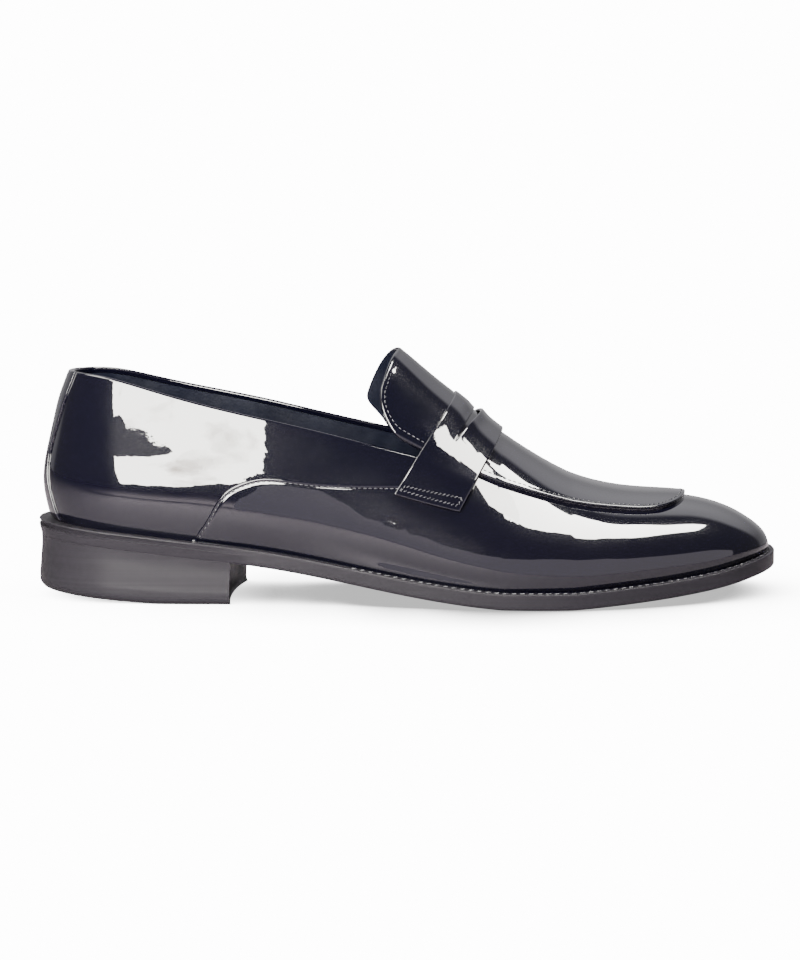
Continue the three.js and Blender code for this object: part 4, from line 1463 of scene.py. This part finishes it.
def heel_point(row, across, level):
    inset = np.maximum(heel_side["inset"](level), BOX_GAP) * HEEL_WAIST
    side = np.where(across < 0, -1.0, 1.0)
    breast = HEEL_LENGTH + BREAST_SKEW * across / 2 - BREAST_HOLLOW * (1 - across * across)
    x = (1 - np.cos(RIGHT_ANGLE * row)) * breast
    ex, ey = outline_at(x, side, inset)
    rise = HEEL_RISE * np.clip(1 - x / HEEL_RISE_LENGTH, 0, 1) ** 1.15
    return np.stack([ex, mix(spine_at(x), ey, np.abs(across)), mix(rise, sole_under(ex) + 0.05, level)], -1)


def make_heel():
    rows = np.linspace(0, 1, 90)
    columns = np.linspace(-1, 1, 61)
    levels = np.concatenate([[0, 0.012, 0.03, 0.06, 0.1], np.linspace(0.16, 1, 24)])
    skin = Skin()
    for level, finish in ((1.0, 0), (0.0, 1)):
        flat = np.full((len(rows), len(columns)), level)
        skin.grid(heel_point(rows[:, None], columns[None], flat), finish=finish)
    for across in (-1.0, 1.0):
        wall = np.full((len(levels), len(rows)), across)
        skin.grid(heel_point(rows[None], wall, levels[:, None] + 0 * rows))
    skin.grid(heel_point(np.ones((len(levels), len(columns))), columns[None], levels[:, None] + 0 * columns))
    skin.build("heel_block", [EDGE, TREAD], ["heel"])


make_outsole()
make_welt()
make_heel()

# %% [markdown]
# ## Stitches
# A row of stitches repeats one small form along a path, which is what Geometry Nodes are for. The
# path carries the surface's direction in an attribute, so each stitch lies flat on the leather. The
# tree ends in real faces with the thread's finish, and becomes a plain mesh.

# %% Stitch tree
def stitch_tree():
    tree = bpy.data.node_groups.new("row_of_stitches", "GeometryNodeTree")
    face = tree.interface
    face.new_socket("Geometry", in_out="INPUT", socket_type="NodeSocketGeometry")
    sizes = (("Step", 0.0024), ("Length", 0.0018), ("Width", 0.0005), ("Height", 0.0004), ("Slant", 0.0))
    for label, value in sizes:
        face.new_socket(label, in_out="INPUT", socket_type="NodeSocketFloat").default_value = value
    face.new_socket("Seed", in_out="INPUT", socket_type="NodeSocketInt").default_value = 7
    face.new_socket("Thread", in_out="INPUT", socket_type="NodeSocketMaterial")
    face.new_socket("Geometry", in_out="OUTPUT", socket_type="NodeSocketGeometry")
    given, result = tree.nodes.new("NodeGroupInput"), tree.nodes.new("NodeGroupOutput")
    as_curve, even = add(tree, "GeometryNodeMeshToCurve"), add(tree, "GeometryNodeResampleCurve")
    even.mode = "LENGTH"
    ball = add(tree, "GeometryNodeMeshUVSphere", Segments=8, Rings=5, Radius=0.5)
    lift = add(tree, "GeometryNodeInputNamedAttribute", Name="lift")
    lift.data_type = "FLOAT_VECTOR"
    tangent = add(tree, "GeometryNodeInputTangent")
    stand, along = (add(tree, "FunctionNodeAlignRotationToVector") for _ in "ZX")
    stand.axis, along.axis, along.pivot_axis = "Z", "X", "Z"
    vary = add(tree, "FunctionNodeRandomValue")
    vary.data_type = "FLOAT"
    vary.inputs[2].default_value, vary.inputs[3].default_value = 0.92, 1.06
    longer = maths(tree, "MULTIPLY")
    size, lean_by = (add(tree, "ShaderNodeCombineXYZ") for _ in range(2))
    place, lean = add(tree, "GeometryNodeInstanceOnPoints"), add(tree, "GeometryNodeRotateInstances")
    real, rounded = add(tree, "GeometryNodeRealizeInstances"), add(tree, "GeometryNodeSetShadeSmooth")
    dye = add(tree, "GeometryNodeSetMaterial")
    wire(
        tree,
        (given, "Geometry", as_curve, 0),
        (as_curve, 0, even, "Curve"),
        (given, "Step", even, "Length"),
        (even, 0, place, "Points"),
        (ball, "Mesh", place, "Instance"),
        (lift, 0, stand, "Vector"),
        (stand, 0, along, "Rotation"),
        (tangent, 0, along, "Vector"),
        (along, 0, place, "Rotation"),
        (given, "Seed", vary, "Seed"),
        (vary, 1, longer, 0),
        (given, "Length", longer, 1),
        (longer, 0, size, "X"),
        (given, "Width", size, "Y"),
        (given, "Height", size, "Z"),
        (size, 0, place, "Scale"),
        (given, "Slant", lean_by, "Z"),
        (place, 0, lean, "Instances"),
        (lean_by, 0, lean, "Rotation"),
        (lean, 0, real, 0),
        (real, 0, rounded, 0),
        (rounded, 0, dye, "Geometry"),
        (given, "Thread", dye, "Material"),
        (dye, 0, result, 0),
    )
    return tree


STITCH_TREE = stitch_tree()


def sew(name, paths, **sizes):
    """Stitches along paths of (points, normals) in millimetres, as one piece."""
    mesh = bpy.data.meshes.new(name + "_path")
    points, lifts, edges = [], [], []
    for line, normals in paths:
        start = len(points)
        points.extend(to_frame(line).tolist())
        lifts.extend(normals.tolist())
        edges.extend((start + i, start + i + 1) for i in range(len(line) - 1))
    mesh.from_pydata(points, edges, [])
    lift = mesh.attributes.new("lift", "FLOAT_VECTOR", "POINT")
    lift.data.foreach_set("vector", np.array(lifts, np.float32).ravel())
    carrier = bpy.data.objects.new(name + "_path", mesh)
    bpy.context.scene.collection.objects.link(carrier)
    modifier = carrier.modifiers.new("stitches", "NODES")
    modifier.node_group = STITCH_TREE
    sockets = {s.name: s.identifier for s in STITCH_TREE.interface.items_tree if s.in_out == "INPUT"}
    for label, value in sizes.items():
        modifier[sockets[label]] = value
    modifier[sockets["Thread"]] = THREAD
    bpy.context.view_layer.update()
    evaluated = carrier.evaluated_get(bpy.context.evaluated_depsgraph_get())
    made = bpy.data.meshes.new_from_object(evaluated)
    made.name = name
    carrier.modifiers.clear()
    bpy.data.objects.remove(carrier)
    made.materials.clear()
    finish_piece(name, made, [THREAD], [])


print("stitch tree ready")


# %% Sew the rows
def on_last(x, side, angle, offset):
    return raised(x, side, angle, offset), last_normal(x, side, angle)


def apron_row(inset, offset):
    inner = drawn_in(APRON_LINE, inset)
    run = way_along(inner)
    even = np.linspace(0, run[-1], 500)
    place = np.stack([np.interp(even, run, inner[:, k]) for k in (0, 1)], -1)
    x, side, angle = by_plan(place[:, 0], place[:, 1])
    return on_last(x, side, angle, np.full(len(x), offset))


SHORTEST_ROW = 4.0
WELT_ROW_BACK, WELT_ROW_INSET = 128.0, 2.0
THREAD_SINK = 0.02
STRAP_ROW = [(0.06, 0.968), (0.93, 0.968), (0.94, 0.918), (0.08, 0.942), (0.06, 0.968)]


def wing_row(side, inset, offset):
    x, angle, stop, grid_x, grid_angle = vamp_side(side)
    lengths = np.linalg.norm(last_point(x, side, angle) - last_point(grid_x[:, -1], side, 0.0), axis=1)
    keep = np.flatnonzero((np.arange(len(x)) < stop) & (lengths > SHORTEST_ROW))[::2]
    q = np.minimum(inset / lengths[keep], 0.9)
    stations = mix(x[keep], grid_x[keep, -1], q)
    return on_last(stations, np.full(len(keep), side), angle[keep] * (1 - q), np.full(len(keep), offset))


def strap_rows():
    rows = []
    for sign in (-1.0, 1.0):
        share, across = [], []
        for (s0, a0), (s1, a1) in zip(STRAP_ROW[:-1], STRAP_ROW[1:]):
            t = np.linspace(0, 1, 40)[:-1]
            share.append(mix(s0, s1, t))
            across.append(sign * mix(a0, a1, t))
        x, side, angle, base = strap_place(np.concatenate(share), np.concatenate(across))
        rows.append(on_last(x, side, angle, base + STRAP_THICK + THREAD_SINK))
    return rows


def welt_row():
    x, side = loop_stations(400)
    keep = x > WELT_ROW_BACK
    line = ring(x[keep], side[keep], WELT_ROW_INSET, OUTSOLE + JOINT + WELT + 0.1)
    return line, np.broadcast_to(np.array([0.0, 0.0, 1.0]), line.shape)


FINE = {"Step": 0.0021, "Length": 0.0016, "Width": 0.0005, "Height": 0.00045}
sew("apron_stitches", [apron_row(APRON_SEAM, APRON_TOP - THREAD_SINK)], **FINE)
sew("wing_stitches", [wing_row(s, WING_SEAM, -THREAD_SINK) for s in (-1.0, 1.0)], **FINE)
sew("strap_stitches", strap_rows(), Step=0.0016, Length=0.0017, Width=0.00055, Height=0.0005, Slant=0.6)
sew("welt_stitches", [welt_row()], Step=0.0034, Length=0.0027, Width=0.0009, Height=0.0008)
